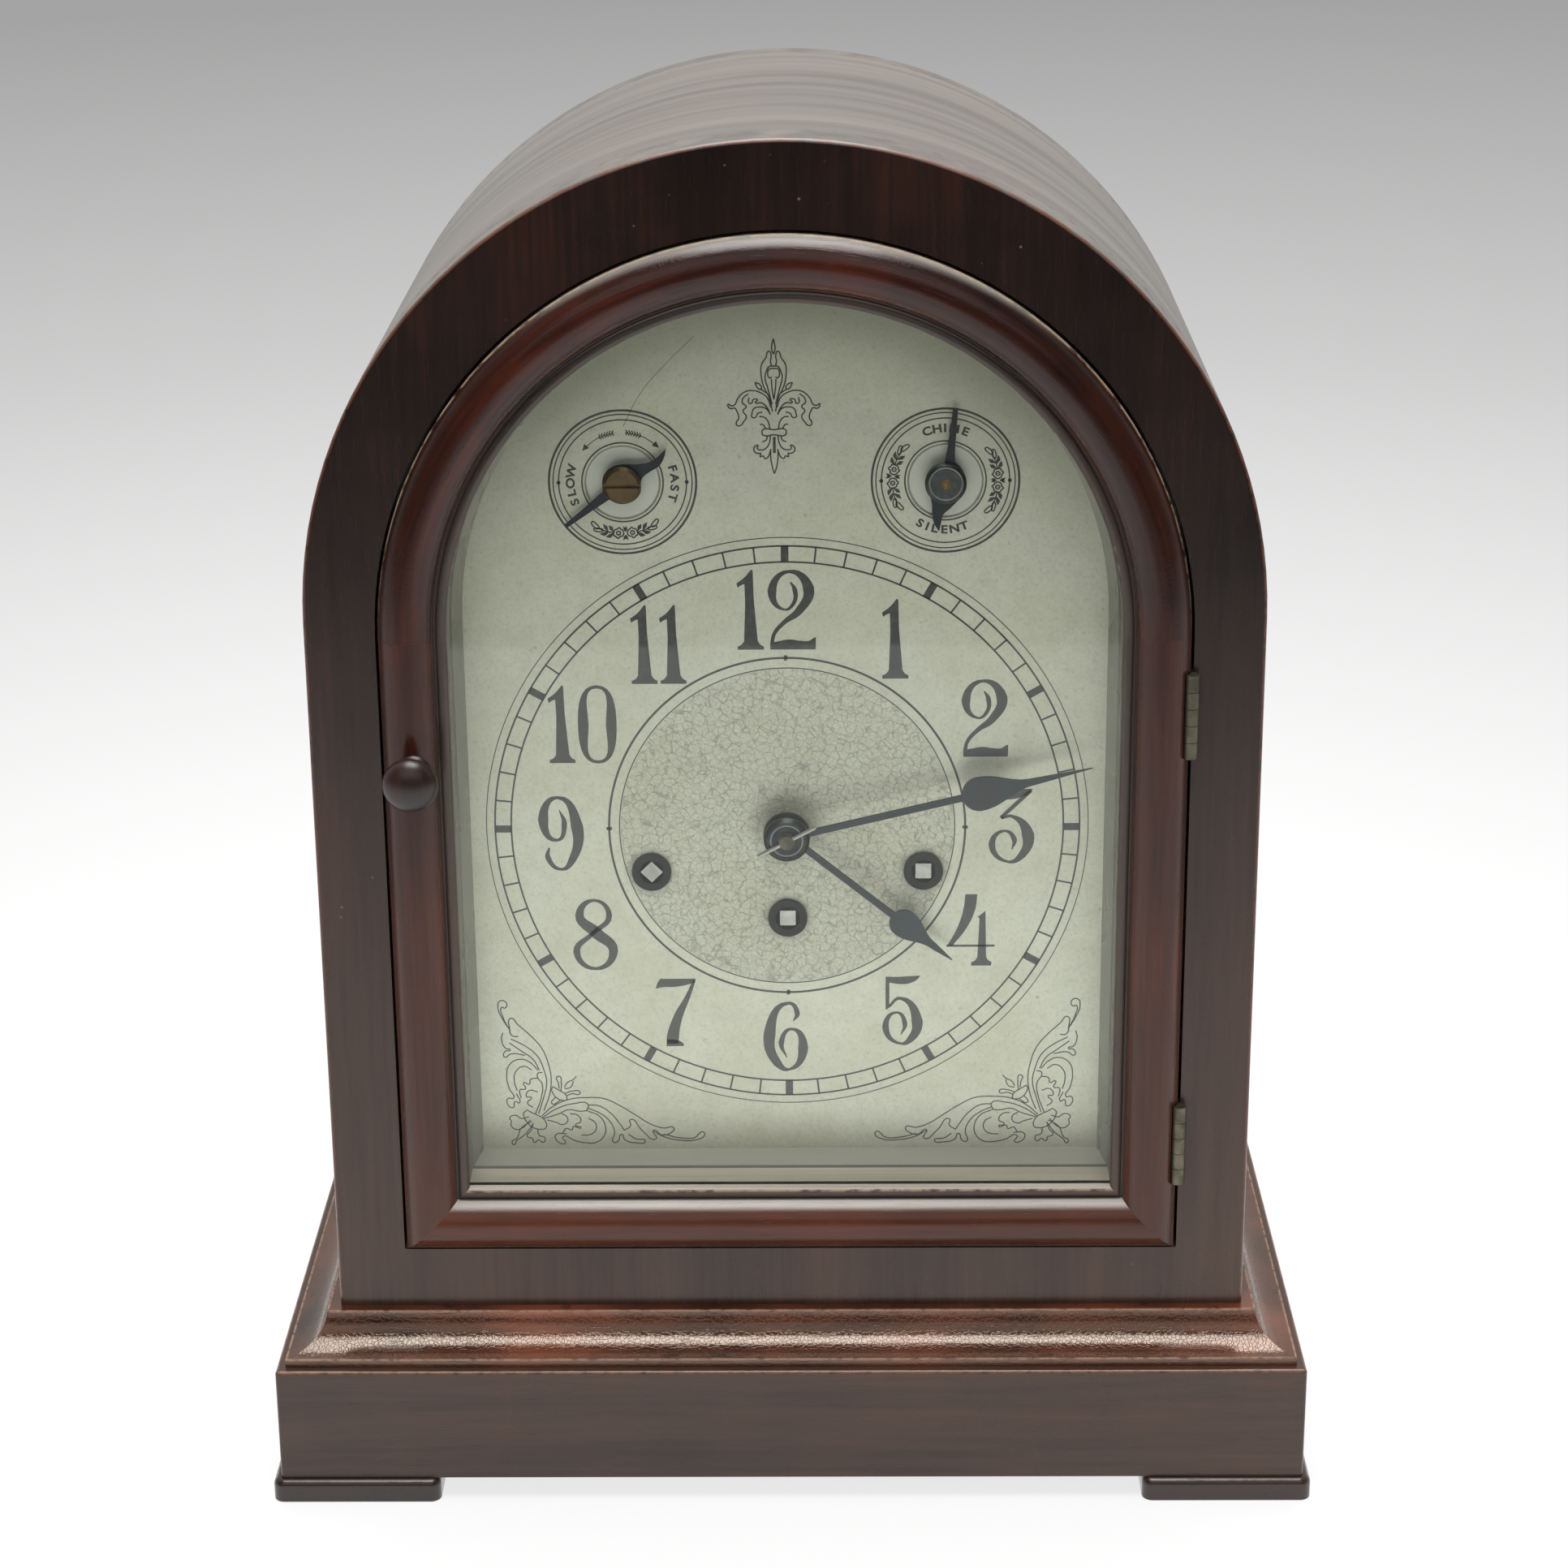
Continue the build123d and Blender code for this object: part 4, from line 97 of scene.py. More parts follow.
class Wire:
    """A shader socket that adds Math nodes when it is used in Python arithmetic."""

    def __init__(self, tree: bpy.types.NodeTree, socket: bpy.types.NodeSocket) -> None:
        """Wraps one output socket of a node tree."""
        self.tree = tree
        self.socket = socket

    def math(self, operation: str, *values: "Wire | float") -> "Wire":
        """Adds a Math node.

        Args:
            operation: Blender's name of the operation.
            values: The wires or numbers for its inputs.

        Returns:
            The wire of the node's result.
        """
        node = self.tree.nodes.new("ShaderNodeMath")
        node.operation = operation
        for plug, value in zip(node.inputs, values):
            if isinstance(value, Wire):
                self.tree.links.new(value.socket, plug)
            else:
                plug.default_value = value
        return Wire(self.tree, node.outputs[0])

    def __add__(self, other: "Wire | float") -> "Wire":
        """Sum."""
        return self.math("ADD", self, other)

    def __radd__(self, other: float) -> "Wire":
        """Reflected sum."""
        return self.math("ADD", other, self)

    def __sub__(self, other: "Wire | float") -> "Wire":
        """Difference."""
        return self.math("SUBTRACT", self, other)

    def __rsub__(self, other: float) -> "Wire":
        """Reflected difference."""
        return self.math("SUBTRACT", other, self)

    def __mul__(self, other: "Wire | float") -> "Wire":
        """Product."""
        return self.math("MULTIPLY", self, other)

    def __pow__(self, other: "Wire | float") -> "Wire":
        """Power."""
        return self.math("POWER", self, other)

    def __abs__(self) -> "Wire":
        """Absolute value."""
        return self.math("ABSOLUTE", self)

    def least(self, other: "Wire | float") -> "Wire":
        """The lesser of two values."""
        return self.math("MINIMUM", self, other)

    def most(self, other: "Wire | float") -> "Wire":
        """The greater of two values."""
        return self.math("MAXIMUM", self, other)

    def rise(self, low: float, high: float) -> "Wire":
        """Goes smoothly from 0 at low to 1 at high.

        Args:
            low: Value at which the result leaves 0.
            high: Value at which the result reaches 1.

        Returns:
            The wire of the smooth step.
        """
        node = self.tree.nodes.new("ShaderNodeMapRange")
        node.interpolation_type = "SMOOTHSTEP"
        node.inputs["From Min"].default_value = low
        node.inputs["From Max"].default_value = high
        self.tree.links.new(self.socket, node.inputs["Value"])
        return Wire(self.tree, node.outputs["Result"])

    def far(self, other: "Wire") -> "Wire":
        """Length of a vector with two parts."""
        return (self * self + other * other) ** 0.5

    def near(self, value: float, reach: float) -> "Wire":
        """1 at a value, falling smoothly to 0 at a distance of reach from it."""
        return 1 - abs(self - value).rise(0.0, reach)


class Recipe:
    """The node tree of a material or of the world while it is being written."""

    def __init__(self, owner: bpy.types.Material | bpy.types.World) -> None:
        """Empties the node tree of its owner."""
        owner.use_nodes = True
        self.owner = owner
        self.tree = owner.node_tree
        self.tree.nodes.clear()

    def node(
        self,
        kind: str,
        settings: dict[str, Any] | None = None,
        inputs: dict[str | int, Any] | None = None,
        output: str | int = 0,
    ) -> Wire:
        """Adds any shader node.

        Args:
            kind: Name of the node type after "ShaderNode".
            settings: The node's own properties, and "stops" for a colour ramp.
            inputs: Wires or plain values for its sockets.
            output: Name or number of the socket that is returned.

        Returns:
            The wire of that output.
        """
        node = self.tree.nodes.new("ShaderNode" + kind)
        for key, value in (settings or {}).items():
            if key == "stops":
                fill_ramp(node.color_ramp, value)
            else:
                setattr(node, key, value)
        for key, value in (inputs or {}).items():
            plug = node.inputs[key]
            if isinstance(value, Wire):
                self.tree.links.new(value.socket, plug)
            elif plug.type == "RGBA" and len(value) == 3:
                plug.default_value = (*value, 1.0)
            else:
                plug.default_value = value
        return Wire(self.tree, node.outputs[output] if node.outputs else None)

    def parts(self, vector: Wire) -> tuple[Wire, Wire, Wire]:
        """The three parts of a vector."""
        node = self.tree.nodes.new("ShaderNodeSeparateXYZ")
        self.tree.links.new(vector.socket, node.inputs[0])
        return tuple(Wire(self.tree, plug) for plug in node.outputs)

    def place(self) -> tuple[Wire, Wire, Wire]:
        """The three Object coordinates, in millimetres."""
        return tuple(part * (1 / MM) for part in self.parts(self.node("TexCoord", output="Object")))

    def upward(self) -> Wire:
        """How much the surface faces up, from -1 to 1."""
        return self.parts(self.node("NewGeometry", output="Normal"))[2]

    def vector(self, x: Wire | float, y: Wire | float, z: Wire | float) -> Wire:
        """Joins three values into a vector."""
        return self.node("CombineXYZ", inputs={0: x, 1: y, 2: z})

    def spot(self) -> Wire:
        """The Object coordinates as one vector, in millimetres."""
        return self.vector(*self.place())

    def about(self, centre: Point) -> Wire:
        """Distance from a centre on the dial, in millimetres."""
        x, _, z = self.place()
        return (x - centre[0]).far(z - centre[1])

    def noise(
        self, spot: Wire, scale: float, detail: float = 3.0, rough: float = 0.55, warp: float = 0.0
    ) -> Wire:
        """Cloudy noise.

        Args:
            spot: Where on the surface.
            scale: How fine it is, per unit of spot.
            detail: Number of finer layers.
            rough: Strength of the finer layers.
            warp: How much it is distorted.

        Returns:
            The wire of the noise, about 0 to 1.
        """
        values = {"Vector": spot, "Scale": scale, "Detail": detail, "Roughness": rough, "Distortion": warp}
        return self.node("TexNoise", inputs=values)

    def cells(self, spot: Wire, scale: float, feature: str = "F1", random: float = 1.0) -> Wire:
        """Distance to the nearest cell point, or to the nearest cell edge."""
        values = {"Vector": spot, "Scale": scale, "Randomness": random}
        return self.node("TexVoronoi", {"feature": feature}, values, "Distance")

    def ramp(self, value: Wire, stops: Sequence[tuple[float, Colour]]) -> Wire:
        """A colour that follows a value."""
        return self.node("ValToRGB", {"stops": stops}, {0: value}, "Color")

    def blend(self, share: Wire | float, under: Wire | Colour, over: Wire | Colour) -> Wire:
        """Mixes two colours.

        Args:
            share: How much of the second colour shows.
            under: The first colour.
            over: The second colour.

        Returns:
            The wire of the mixed colour.
        """
        return self.node("Mix", {"data_type": "RGBA"}, {0: share, 6: under, 7: over}, 2)

    def bump(self, height: Wire, depth: float, strength: float = 1.0, under: Wire | None = None) -> Wire:
        """A bumped normal from a height of 0 to 1 that stands for a depth in millimetres."""
        values: dict[str | int, Any] = {"Height": height, "Distance": depth * MM, "Strength": strength}
        if under is not None:
            values["Normal"] = under
        return self.node("Bump", None, values)

    def surface(self, shader: Wire) -> bpy.types.Material:
        """Ends the material with a shader."""
        self.node("OutputMaterial", inputs={"Surface": shader})
        return self.owner

    def principled(self, **sockets: Any) -> Wire:
        """A Principled shader; underscores in the socket names stand for spaces."""
        values = {key.replace("_", " "): value for key, value in sockets.items()}
        return self.node("BsdfPrincipled", inputs=values)

    def coat(self, **sockets: Any) -> bpy.types.Material:
        """Ends the material with a Principled shader."""
        return self.surface(self.principled(**sockets))


def fill_ramp(ramp: bpy.types.ColorRamp, stops: Sequence[tuple[float, Colour]]) -> None:
    """Writes the stops of a colour ramp.

    Args:
        ramp: The ramp, as Blender makes it with two stops.
        stops: Positions with their colours.
    """
    for index, (position, colour) in enumerate(stops):
        stop = ramp.elements[index] if index < 2 else ramp.elements.new(position)
        stop.position = position
        stop.color = (*colour, 1.0)


@dataclass(frozen=True)
class Finish:
    """A named finish; its material is written once and shared."""

    name: str

    def material(self) -> bpy.types.Material:
        """The finish's material."""
        known = bpy.data.materials.get("finish_" + self.name)
        return known or self.write(Recipe(bpy.data.materials.new("finish_" + self.name)))

    def write(self, recipe: Recipe) -> bpy.types.Material:
        """Writes the nodes; each finish has its own."""
        raise NotImplementedError


@dataclass(frozen=True)
class Mahogany(Finish):
    """Old dark varnished mahogany: fine grain, painted floor light low down, worn edges, specks, and dust
    on top.

    An edge is a pair: how far out the edge lies and at which level, both in millimetres. Grime lies on
    what is nearer to the middle of the arch than grime_within.
    """

    grain: Grain = Grain.UPRIGHT
    dark: Colour = (0.006, 0.0032, 0.0026)
    middle: Colour = (0.017, 0.007, 0.0047)
    red: Colour = (0.047, 0.013, 0.0067)
    gloss: float = 0.27
    shine: float = 0.5
    shine_tint: Colour = (1.0, 1.0, 1.0)
    # Painted light from the floor: how strongly the lower parts are lightened, and in which colour
    painted_floor_light: float = 0.0
    painted_floor_light_tint: Colour = (0.1, 0.055, 0.037)
    dust: float = 0.0
    dust_and_highlight_tint: Colour = (0.17, 0.155, 0.134)
    dust_and_highlight_slope: Point = (-0.1, 0.7)
    grime_within: float = 0.0
    crackle: float = 0.0
    specks: float = 0.0
    # Edge lines: wear, and partly painted edge highlights
    edges: tuple[Point, ...] = ()
    worn: Colour = (0.2, 0.09, 0.05)
    edge_width: float = 0.9
    worn_from_above: bool = False

    def arch(self, recipe: Recipe, spring: float) -> tuple[Wire, Wire]:
        """Follows an arch on straight sides.

        Args:
            recipe: The material that is being written.
            spring: Height at which the arch begins.

        Returns:
            The distance from the middle of the arch, and the length along it.
        """
        x, _, z = recipe.place()
        up = (z - spring).most(0.0)
        out = x.far(up)
        turn = x.math("ARCTAN2", x, up + 0.001)
        side = 1 - (z - spring).rise(-0.5, 0.5)
        return out, (turn * out) * (1 - side) + z * side

    def section(self, recipe: Recipe) -> tuple[Wire, Wire, Wire]:
        """Where a point lies in its moulding.

        Args:
            recipe: The material that is being written.

        Returns:
            How far out it is, its level, and a vector that is stretched along the grain.
        """
        x, y, z = recipe.place()
        if self.grain is Grain.LEVEL:
            out = (abs(x) - CASE_HALF).most(abs(y) + CASE_FRONT)
            return out, z, recipe.vector(x * GRAIN_PULL, y * GRAIN_PULL, z)
        if self.grain is Grain.UPRIGHT:
            out, _ = self.arch(recipe, ARCH_SPRING)
            return out, y, recipe.vector(x, y, z * GRAIN_PULL)
        if self.grain is Grain.ARCHED:
            out, along = self.arch(recipe, ARCH_SPRING)
            return out, y, recipe.vector(out, y, along * ARCH_GRAIN_PULL)
        out, along = self.arch(recipe, DOOR_SPRING)
        rise = z - DOOR_BOTTOM
        rail = ((DOOR_HALF - abs(x)) - rise).rise(-0.15, 0.15)
        out = out * (1 - rail) + (DOOR_HALF - rise) * rail
        along = along * (1 - rail) + x * rail
        return out, y, recipe.vector(out, y, along * GRAIN_PULL)

    def write(self, recipe: Recipe) -> bpy.types.Material:
        """Writes grain, pores, specks, painted floor light, grime, dust and worn edges into one varnished
        surface; the dust and the worn edges are partly painted highlights.
        """
        _, _, z = recipe.place()
        up = recipe.upward()
        out, level, run = self.section(recipe)
        spot = recipe.spot()
        streaks = recipe.noise(run, 0.55, 4.0, 0.6)
        broad = recipe.noise(run, 0.09, 3.0, 0.5, 0.4)
        clouds = recipe.noise(spot, 0.021, 3.0, 0.55)
        pores = recipe.noise(run, 2.6, 2.0, 0.5).rise(0.62, 0.72)
        tone = streaks * 0.42 + broad * 0.4 + clouds * 0.65 - 0.265
        colour = recipe.ramp(tone, ((0.28, self.dark), (0.5, self.middle), (0.74, self.red)))
        colour = recipe.blend(pores * 0.55, colour, self.dark)
        rough = self.gloss + (clouds - 0.5) * 0.12 + pores * 0.1
        normal = recipe.bump(streaks * 0.35 - pores * 0.4, 0.05)
        if self.crackle:
            cracks = recipe.cells(spot, 0.9, "DISTANCE_TO_EDGE").rise(0.0, 0.12)
            normal = recipe.bump(cracks, 0.05, self.crackle, normal)
            rough = rough + (1 - cracks) * 0.12 * self.crackle
        if self.specks:
            seeds = recipe.cells(spot, 0.16).rise(0.03, 0.08)
            patch = recipe.noise(spot, 0.03, 2.0).rise(0.5, 0.62)
            colour = recipe.blend((1 - seeds) * patch * self.specks, colour, SPECK_TINT)
        # Painted light from the floor: lighter and warmer towards the bottom, varied along the grain
        if self.painted_floor_light:
            low = 0.6 + broad.rise(0.3, 0.7) * 0.35 + streaks.rise(0.3, 0.7) * 0.25
            low = low * (1 - z.rise(60.0, 330.0))
            colour = recipe.blend(low * self.painted_floor_light, colour, self.painted_floor_light_tint)
        if self.grime_within:
            soiled = 1 - out.rise(self.grime_within - 0.4, self.grime_within)
            colour = recipe.blend(soiled * (0.3 + streaks * 0.8), colour, GRIME_TINT)
            rough = rough + soiled * 0.1
        # Dust on faces that point upward; on the door, where only steep up-facing slopes take it, it is
        # partly a painted highlight
        if self.dust:
            film = up.rise(*self.dust_and_highlight_slope) * (0.3 + broad.rise(0.25, 0.75) * 0.8 + streaks * 0.3)
            if self.grain in (Grain.ARCHED, Grain.UPRIGHT):
                film = film * (1.95 - up * 1.25)
            colour = recipe.blend(film * self.dust, colour, self.dust_and_highlight_tint)
            rough = rough + film * 0.1
        # Edge lines in the worn colour are wear, and partly a painted highlight along edges that are sharp
        # in the model; with worn_from_above they show only where the surface faces up.
        rubbed = recipe.noise(spot, 0.3, 3.0).rise(0.3, 0.55)
        if self.worn_from_above:
            rubbed = rubbed * up.rise(-0.05, 0.35)
        for edge_out, edge_level in self.edges:
            gap = (out - edge_out).far(level - edge_level)
            mark = (1 - gap.rise(0.2, self.edge_width)) * rubbed
            colour = recipe.blend(mark * 0.85, colour, self.worn)
        return recipe.coat(
            Base_Color=colour,
            Roughness=rough,
            Normal=normal,
            Specular_IOR_Level=self.shine,
            Specular_Tint=self.shine_tint,
        )


@dataclass(frozen=True)
class BareWood(Finish):
    """Plain unvarnished boards inside the case."""

    pale: Colour = (0.3, 0.19, 0.1)
    deep: Colour = (0.17, 0.095, 0.047)

    def write(self, recipe: Recipe) -> bpy.types.Material:
        """Writes broad growth rings with fine fibres."""
        x, y, z = recipe.place()
        run = recipe.vector(x * 0.03, y, z)
        rings = recipe.noise(run, 0.11, 2.0, 0.4, 1.2)
        fibres = recipe.noise(run, 1.1, 3.0)
        colour = recipe.ramp(rings * 0.6 + fibres * 0.4, ((0.32, self.deep), (0.66, self.pale)))
        normal = recipe.bump(fibres, 0.08)
        return recipe.coat(Base_Color=colour, Roughness=0.62 + fibres * 0.2, Normal=normal)


@dataclass(frozen=True)
class Metal(Finish):
    """Satin metal with fine brushing and patches of tarnish."""

    clean: Colour = (0.5, 0.36, 0.15)
    tarnish: Colour = (0.24, 0.16, 0.07)
    share: float = 0.5
    gloss: float = 0.3
    sheen: float = 1.0

    def write(self, recipe: Recipe) -> bpy.types.Material:
        """Writes brushed metal that is browner in its patches."""
        x, y, z = recipe.place()
        spot = recipe.vector(x, y, z)
        lines = recipe.noise(recipe.vector(x, y, z * 0.05), 5.0, 2.0)
        patch = recipe.noise(spot, 0.16, 4.0, 0.65, 0.5)
        specks = recipe.noise(spot, 1.4, 2.0).rise(0.6, 0.74)
        film = (patch.rise(0.36, 0.68) * self.share + specks * 0.3).least(1.0)
        colour = recipe.blend(film, self.clean, self.tarnish)
        rough = self.gloss + film * 0.22 + (lines - 0.5) * 0.14
        normal = recipe.bump(lines, 0.006)
        return recipe.coat(Base_Color=colour, Metallic=self.sheen, Roughness=rough, Normal=normal)


@dataclass(frozen=True)
class BlackPaint(Finish):
    """Black enamel over a rough casting."""

    def write(self, recipe: Recipe) -> bpy.types.Material:
        """Writes lumpy black paint with a few rubbed spots."""
        spot = recipe.spot()
        lumps = recipe.noise(spot, 0.6, 4.0, 0.6)
        rubbed = recipe.noise(spot, 0.3, 3.0).rise(0.62, 0.72)
        colour = recipe.blend(rubbed * 0.5, (0.012, 0.012, 0.012), (0.09, 0.085, 0.08))
        normal = recipe.bump(lumps, 0.15)
        return recipe.coat(Base_Color=colour, Roughness=0.42 + lumps * 0.2, Normal=normal)


@dataclass(frozen=True)
class TurnedBoss(Finish):
    """Blued boss with turned rings, and a brass core where the arbor ends."""

    centre: Point = HAND_CENTRE
    core: float = 1.8
    ring: float = 4.4
    steel: Colour = (0.02, 0.026, 0.032)

    def write(self, recipe: Recipe) -> bpy.types.Material:
        """Writes blued steel about the core and tarnished brass inside it."""
        _, y, _ = recipe.place()
        out = recipe.about(self.centre)
        patch = recipe.noise(recipe.spot(), 0.5, 4.0)
        steel = recipe.blend(patch.rise(0.4, 0.7) * 0.6, self.steel, (0.075, 0.07, 0.06))
        brass = recipe.blend(patch.rise(0.4, 0.6), (0.36, 0.24, 0.11), (0.2, 0.12, 0.06))
        front = 1 - (y - DIAL_FACE).rise(-0.5, 0.5)
        skin = out.rise(self.core, self.core + 0.2) * front
        lines = out.near(self.ring, 0.35)
        colour = recipe.blend(skin, brass, recipe.blend(lines * 0.8, steel, (0.26, 0.28, 0.29)))
        normal = recipe.bump(recipe.noise(recipe.vector(out, 0.0, 0.0), 3.0, 2.0) - lines, 0.04)
        return recipe.coat(Base_Color=colour, Metallic=1.0, Roughness=0.3 + patch * 0.14, Normal=normal)


@dataclass(frozen=True)
class Silvered(Finish):
    """Silvered dial: satin, brushed level, with a stippled middle and a greenish bloom."""

    pale: Colour = (0.69, 0.695, 0.59)
    bloom: Colour = (0.62, 0.615, 0.475)
    mottled: Colour = (0.34, 0.335, 0.26)
    sooty: Colour = (0.27, 0.27, 0.21)
    # Painted shadow of the door's arch over the top of the dial
    shaded: Colour = (0.25, 0.25, 0.19)
    sunk: Colour = (0.66, 0.67, 0.62)
    stained: Colour = (0.2, 0.19, 0.13)
    stippled: Colour = (0.17, 0.17, 0.13)
    middle_radius: float = 46.6
    sink_radius: float = 10.1

    def write(self, recipe: Recipe) -> bpy.types.Material:
        """Writes brushing, bloom, soot, stains, a painted shadow under the top of the arch, the patterned
        middle and the two sinks.
        """
        x, y, z = recipe.place()
        spot = recipe.vector(x, y, z)
        flat = recipe.vector(x, 0.0, z)
        lines = recipe.noise(recipe.vector(x * 0.03, y, z), 2.2, 3.0)
        bloom = recipe.noise(spot, 0.035, 4.0, 0.6).rise(0.35, 0.7)
        spots = recipe.cells(spot, 0.11).rise(0.03, 0.09)
        stains = (1 - spots) * recipe.noise(spot, 0.05, 2.0).rise(0.5, 0.64)
        grime = recipe.noise(spot, 0.55, 3.0, 0.6).rise(0.66, 0.74)
        across = recipe.about(HAND_CENTRE)
        inside = 1 - across.rise(self.middle_radius - 0.3, self.middle_radius)
        wobble = recipe.noise(flat, 0.45, 2.0) * 1.6
        bent = recipe.vector(x + wobble, 0.0, z - wobble)
        petals = recipe.cells(bent, 0.4, "DISTANCE_TO_EDGE", 0.9)
        hairs = recipe.cells(bent, 0.9, "DISTANCE_TO_EDGE", 1.0)
        mesh = ((1 - petals.rise(0.01, 0.085)) * 0.8 + (1 - hairs.rise(0.01, 0.12)) * 0.5).least(1.0)
        mesh = mesh * inside * (0.45 + recipe.noise(spot, 0.5, 2.0).rise(0.35, 0.6) * 0.55)
        mottle = recipe.noise(spot, 0.16, 5.0, 0.75).rise(0.36, 0.68)
        grit = recipe.noise(spot, 0.9, 4.0, 0.8).rise(0.46, 0.72)
        soot = 1 - across.rise(6.0, 13.0)
        for hole in WINDING_CENTRES:
            soot = soot.most(1 - recipe.about(hole).rise(4.8, 8.5))
        soot = soot * (0.35 + mottle * 0.4)
        rings = recipe.noise(recipe.vector(across, 0.0, 0.0), 1.4, 1.0).rise(0.45, 0.6)
        rings = rings * (1 - across.rise(8.4, 9.0))
        sink = recipe.about(REGULATOR_CENTRE).least(recipe.about(CHIME_CENTRE))
        floor = 1 - sink.rise(self.sink_radius - 0.5, self.sink_radius + 0.4)
        colour = recipe.blend(bloom * 0.5, self.pale, self.bloom)
        colour = recipe.blend(mottle * 0.16 + grit * 0.34, colour, self.mottled)
        colour = recipe.blend(soot, colour, self.sooty)
        # Painted shadow: darker under the top of the arch, where the door's arch shades the dial
        up = (z - DOOR_SPRING).most(0.0)
        arch_shadow = x.far(up).rise(66.0, 89.0) * z.rise(262.0, 322.0)
        colour = recipe.blend(arch_shadow * 0.6, colour, self.shaded)
        colour = recipe.blend(floor * 0.7, colour, self.sunk)
        colour = recipe.blend((stains * 0.4).most(grime * 0.25), colour, self.stained)
        colour = recipe.blend((mesh * 0.58).most(rings * 0.3), colour, self.stippled)
        rough = 0.36 + (lines - 0.5) * 0.1 + inside * 0.14 + bloom * 0.05
        normal = recipe.bump(floor, -0.55)
        normal = recipe.bump(lines * 0.4 - mesh, 0.02, 1.0, normal)
        return recipe.coat(Base_Color=colour, Metallic=0.42, Roughness=rough, Normal=normal)


@dataclass(frozen=True)
class DialWax(Finish):
    """Black wax in the engraved lines of the dial, a little dry and worn."""

    def write(self, recipe: Recipe) -> bpy.types.Material:
        """Writes near-black wax that is greyer where it is rubbed."""
        dry = recipe.noise(recipe.spot(), 0.5, 4.0).rise(0.42, 0.72)
        colour = recipe.blend(dry, (0.02, 0.021, 0.021), (0.055, 0.054, 0.048))
        return recipe.coat(Base_Color=colour, Roughness=0.32 + dry * 0.2, Specular_IOR_Level=0.9)


@dataclass(frozen=True)
class PaneGlass(Finish):
    """Thin clear glass: mostly see-through, with a mirror that grows at low angles."""

    def write(self, recipe: Recipe) -> bpy.types.Material:
        """Writes a clear pane with a faint film of dust."""
        lean = recipe.node("LayerWeight", None, {"Blend": 0.5}, "Facing")
        film = recipe.noise(recipe.spot(), 0.05, 4.0, 0.6)
        mirror = lean ** 5.0 * 0.95 + 0.022
        clear = recipe.node("BsdfTransparent", None, {"Color": (0.975, 0.985, 0.97)})
        shine = recipe.principled(Base_Color=(0.9, 0.93, 0.9), Metallic=1.0, Roughness=0.012 + film * 0.02)
        return recipe.surface(recipe.node("MixShader", None, {0: mirror, 1: clear, 2: shine}))


@dataclass(frozen=True)
class PaleFloor(Finish):
    """White floor that fades to grey far away and keeps a soft shadow."""

    near: Colour = (1.0, 1.0, 1.0)
    far: Colour = (0.42, 0.42, 0.42)
    mirrored: float = 1.6

    def write(self, recipe: Recipe) -> bpy.types.Material:
        """Writes a floor that shows its own brightness to camera, mirrors and glass."""
        x, y, _ = recipe.place()
        away = x.far(y) * MM
        shade = recipe.ramp(
            away.math("LOGARITHM", away + 1.0, 4.3),
            ((0.13, self.near), (0.28, (0.88, 0.88, 0.88)), (0.6, (0.62, 0.62, 0.62)), (1.0, self.far)),
        )
        seen = recipe.node("LightPath", output="Is Camera Ray")
        shine = recipe.node("LightPath", output="Is Glossy Ray")
        seen = seen.most(shine).most(recipe.node("LightPath", output="Is Transmission Ray"))
        glow = recipe.node("Emission", None, {"Color": shade, "Strength": shine * (self.mirrored - 1) + 1})
        matt = recipe.node("BsdfDiffuse", None, {"Color": recipe.blend(0.14, shade, (0.0, 0.0, 0.0))})
        return recipe.surface(recipe.node("MixShader", None, {0: seen * 0.78, 1: matt, 2: glow}))


@dataclass(frozen=True)
class DarkCard(Finish):
    """Matt dark grey card that lies outside the picture and shows only as a reflection."""

    def write(self, recipe: Recipe) -> bpy.types.Material:
        """Writes matt dark grey paper."""
        fibre = recipe.noise(recipe.spot(), 0.02, 2.0)
        colour = recipe.ramp(fibre, ((0.3, (0.1, 0.099, 0.097)), (0.7, (0.13, 0.129, 0.127))))
        return recipe.surface(recipe.node("BsdfDiffuse", None, {"Color": colour}))


WOOD_FRONT = Mahogany(
    "front_wood",
    grain=Grain.UPRIGHT,
    shine=0.4,
    painted_floor_light=0.62,
    dust=0.6,
    dust_and_highlight_slope=(0.1, 0.75),
    specks=0.5,
    edges=((128.6, -83.2),),
    worn=(0.14, 0.045, 0.025),
)
WOOD_SHELL = Mahogany("shell_wood", grain=Grain.ARCHED, dust=0.6)
WOOD_DOOR = Mahogany(
    "door_wood",
    grain=Grain.DOOR,
    middle=(0.037, 0.0095, 0.0055),
    red=(0.13, 0.022, 0.009),
    gloss=0.2,
    shine=0.34,
    painted_floor_light=0.55,
    painted_floor_light_tint=(0.125, 0.042, 0.023),
    # On the door, the pale dust on faces that point well upward is partly a painted highlight along the
    # top of the arch and the bottom rail's inner slope
    dust=0.9,
    dust_and_highlight_tint=(0.5, 0.46, 0.41),
    dust_and_highlight_slope=(0.58, 0.84),
    grime_within=94.6,
    crackle=0.2,
    edges=((90.7, -84.2), (108.5, -84.1)),
    worn=(0.42, 0.33, 0.23),
    edge_width=1.2,
    worn_from_above=True,
)
WOOD_REVEAL = Mahogany(
    "reveal_wood",
    grain=Grain.DOOR,
    dark=(0.17, 0.152, 0.128),
    middle=(0.22, 0.197, 0.167),
    red=(0.25, 0.22, 0.185),
    dust=0.95,
    dust_and_highlight_tint=(0.62, 0.54, 0.45),
)
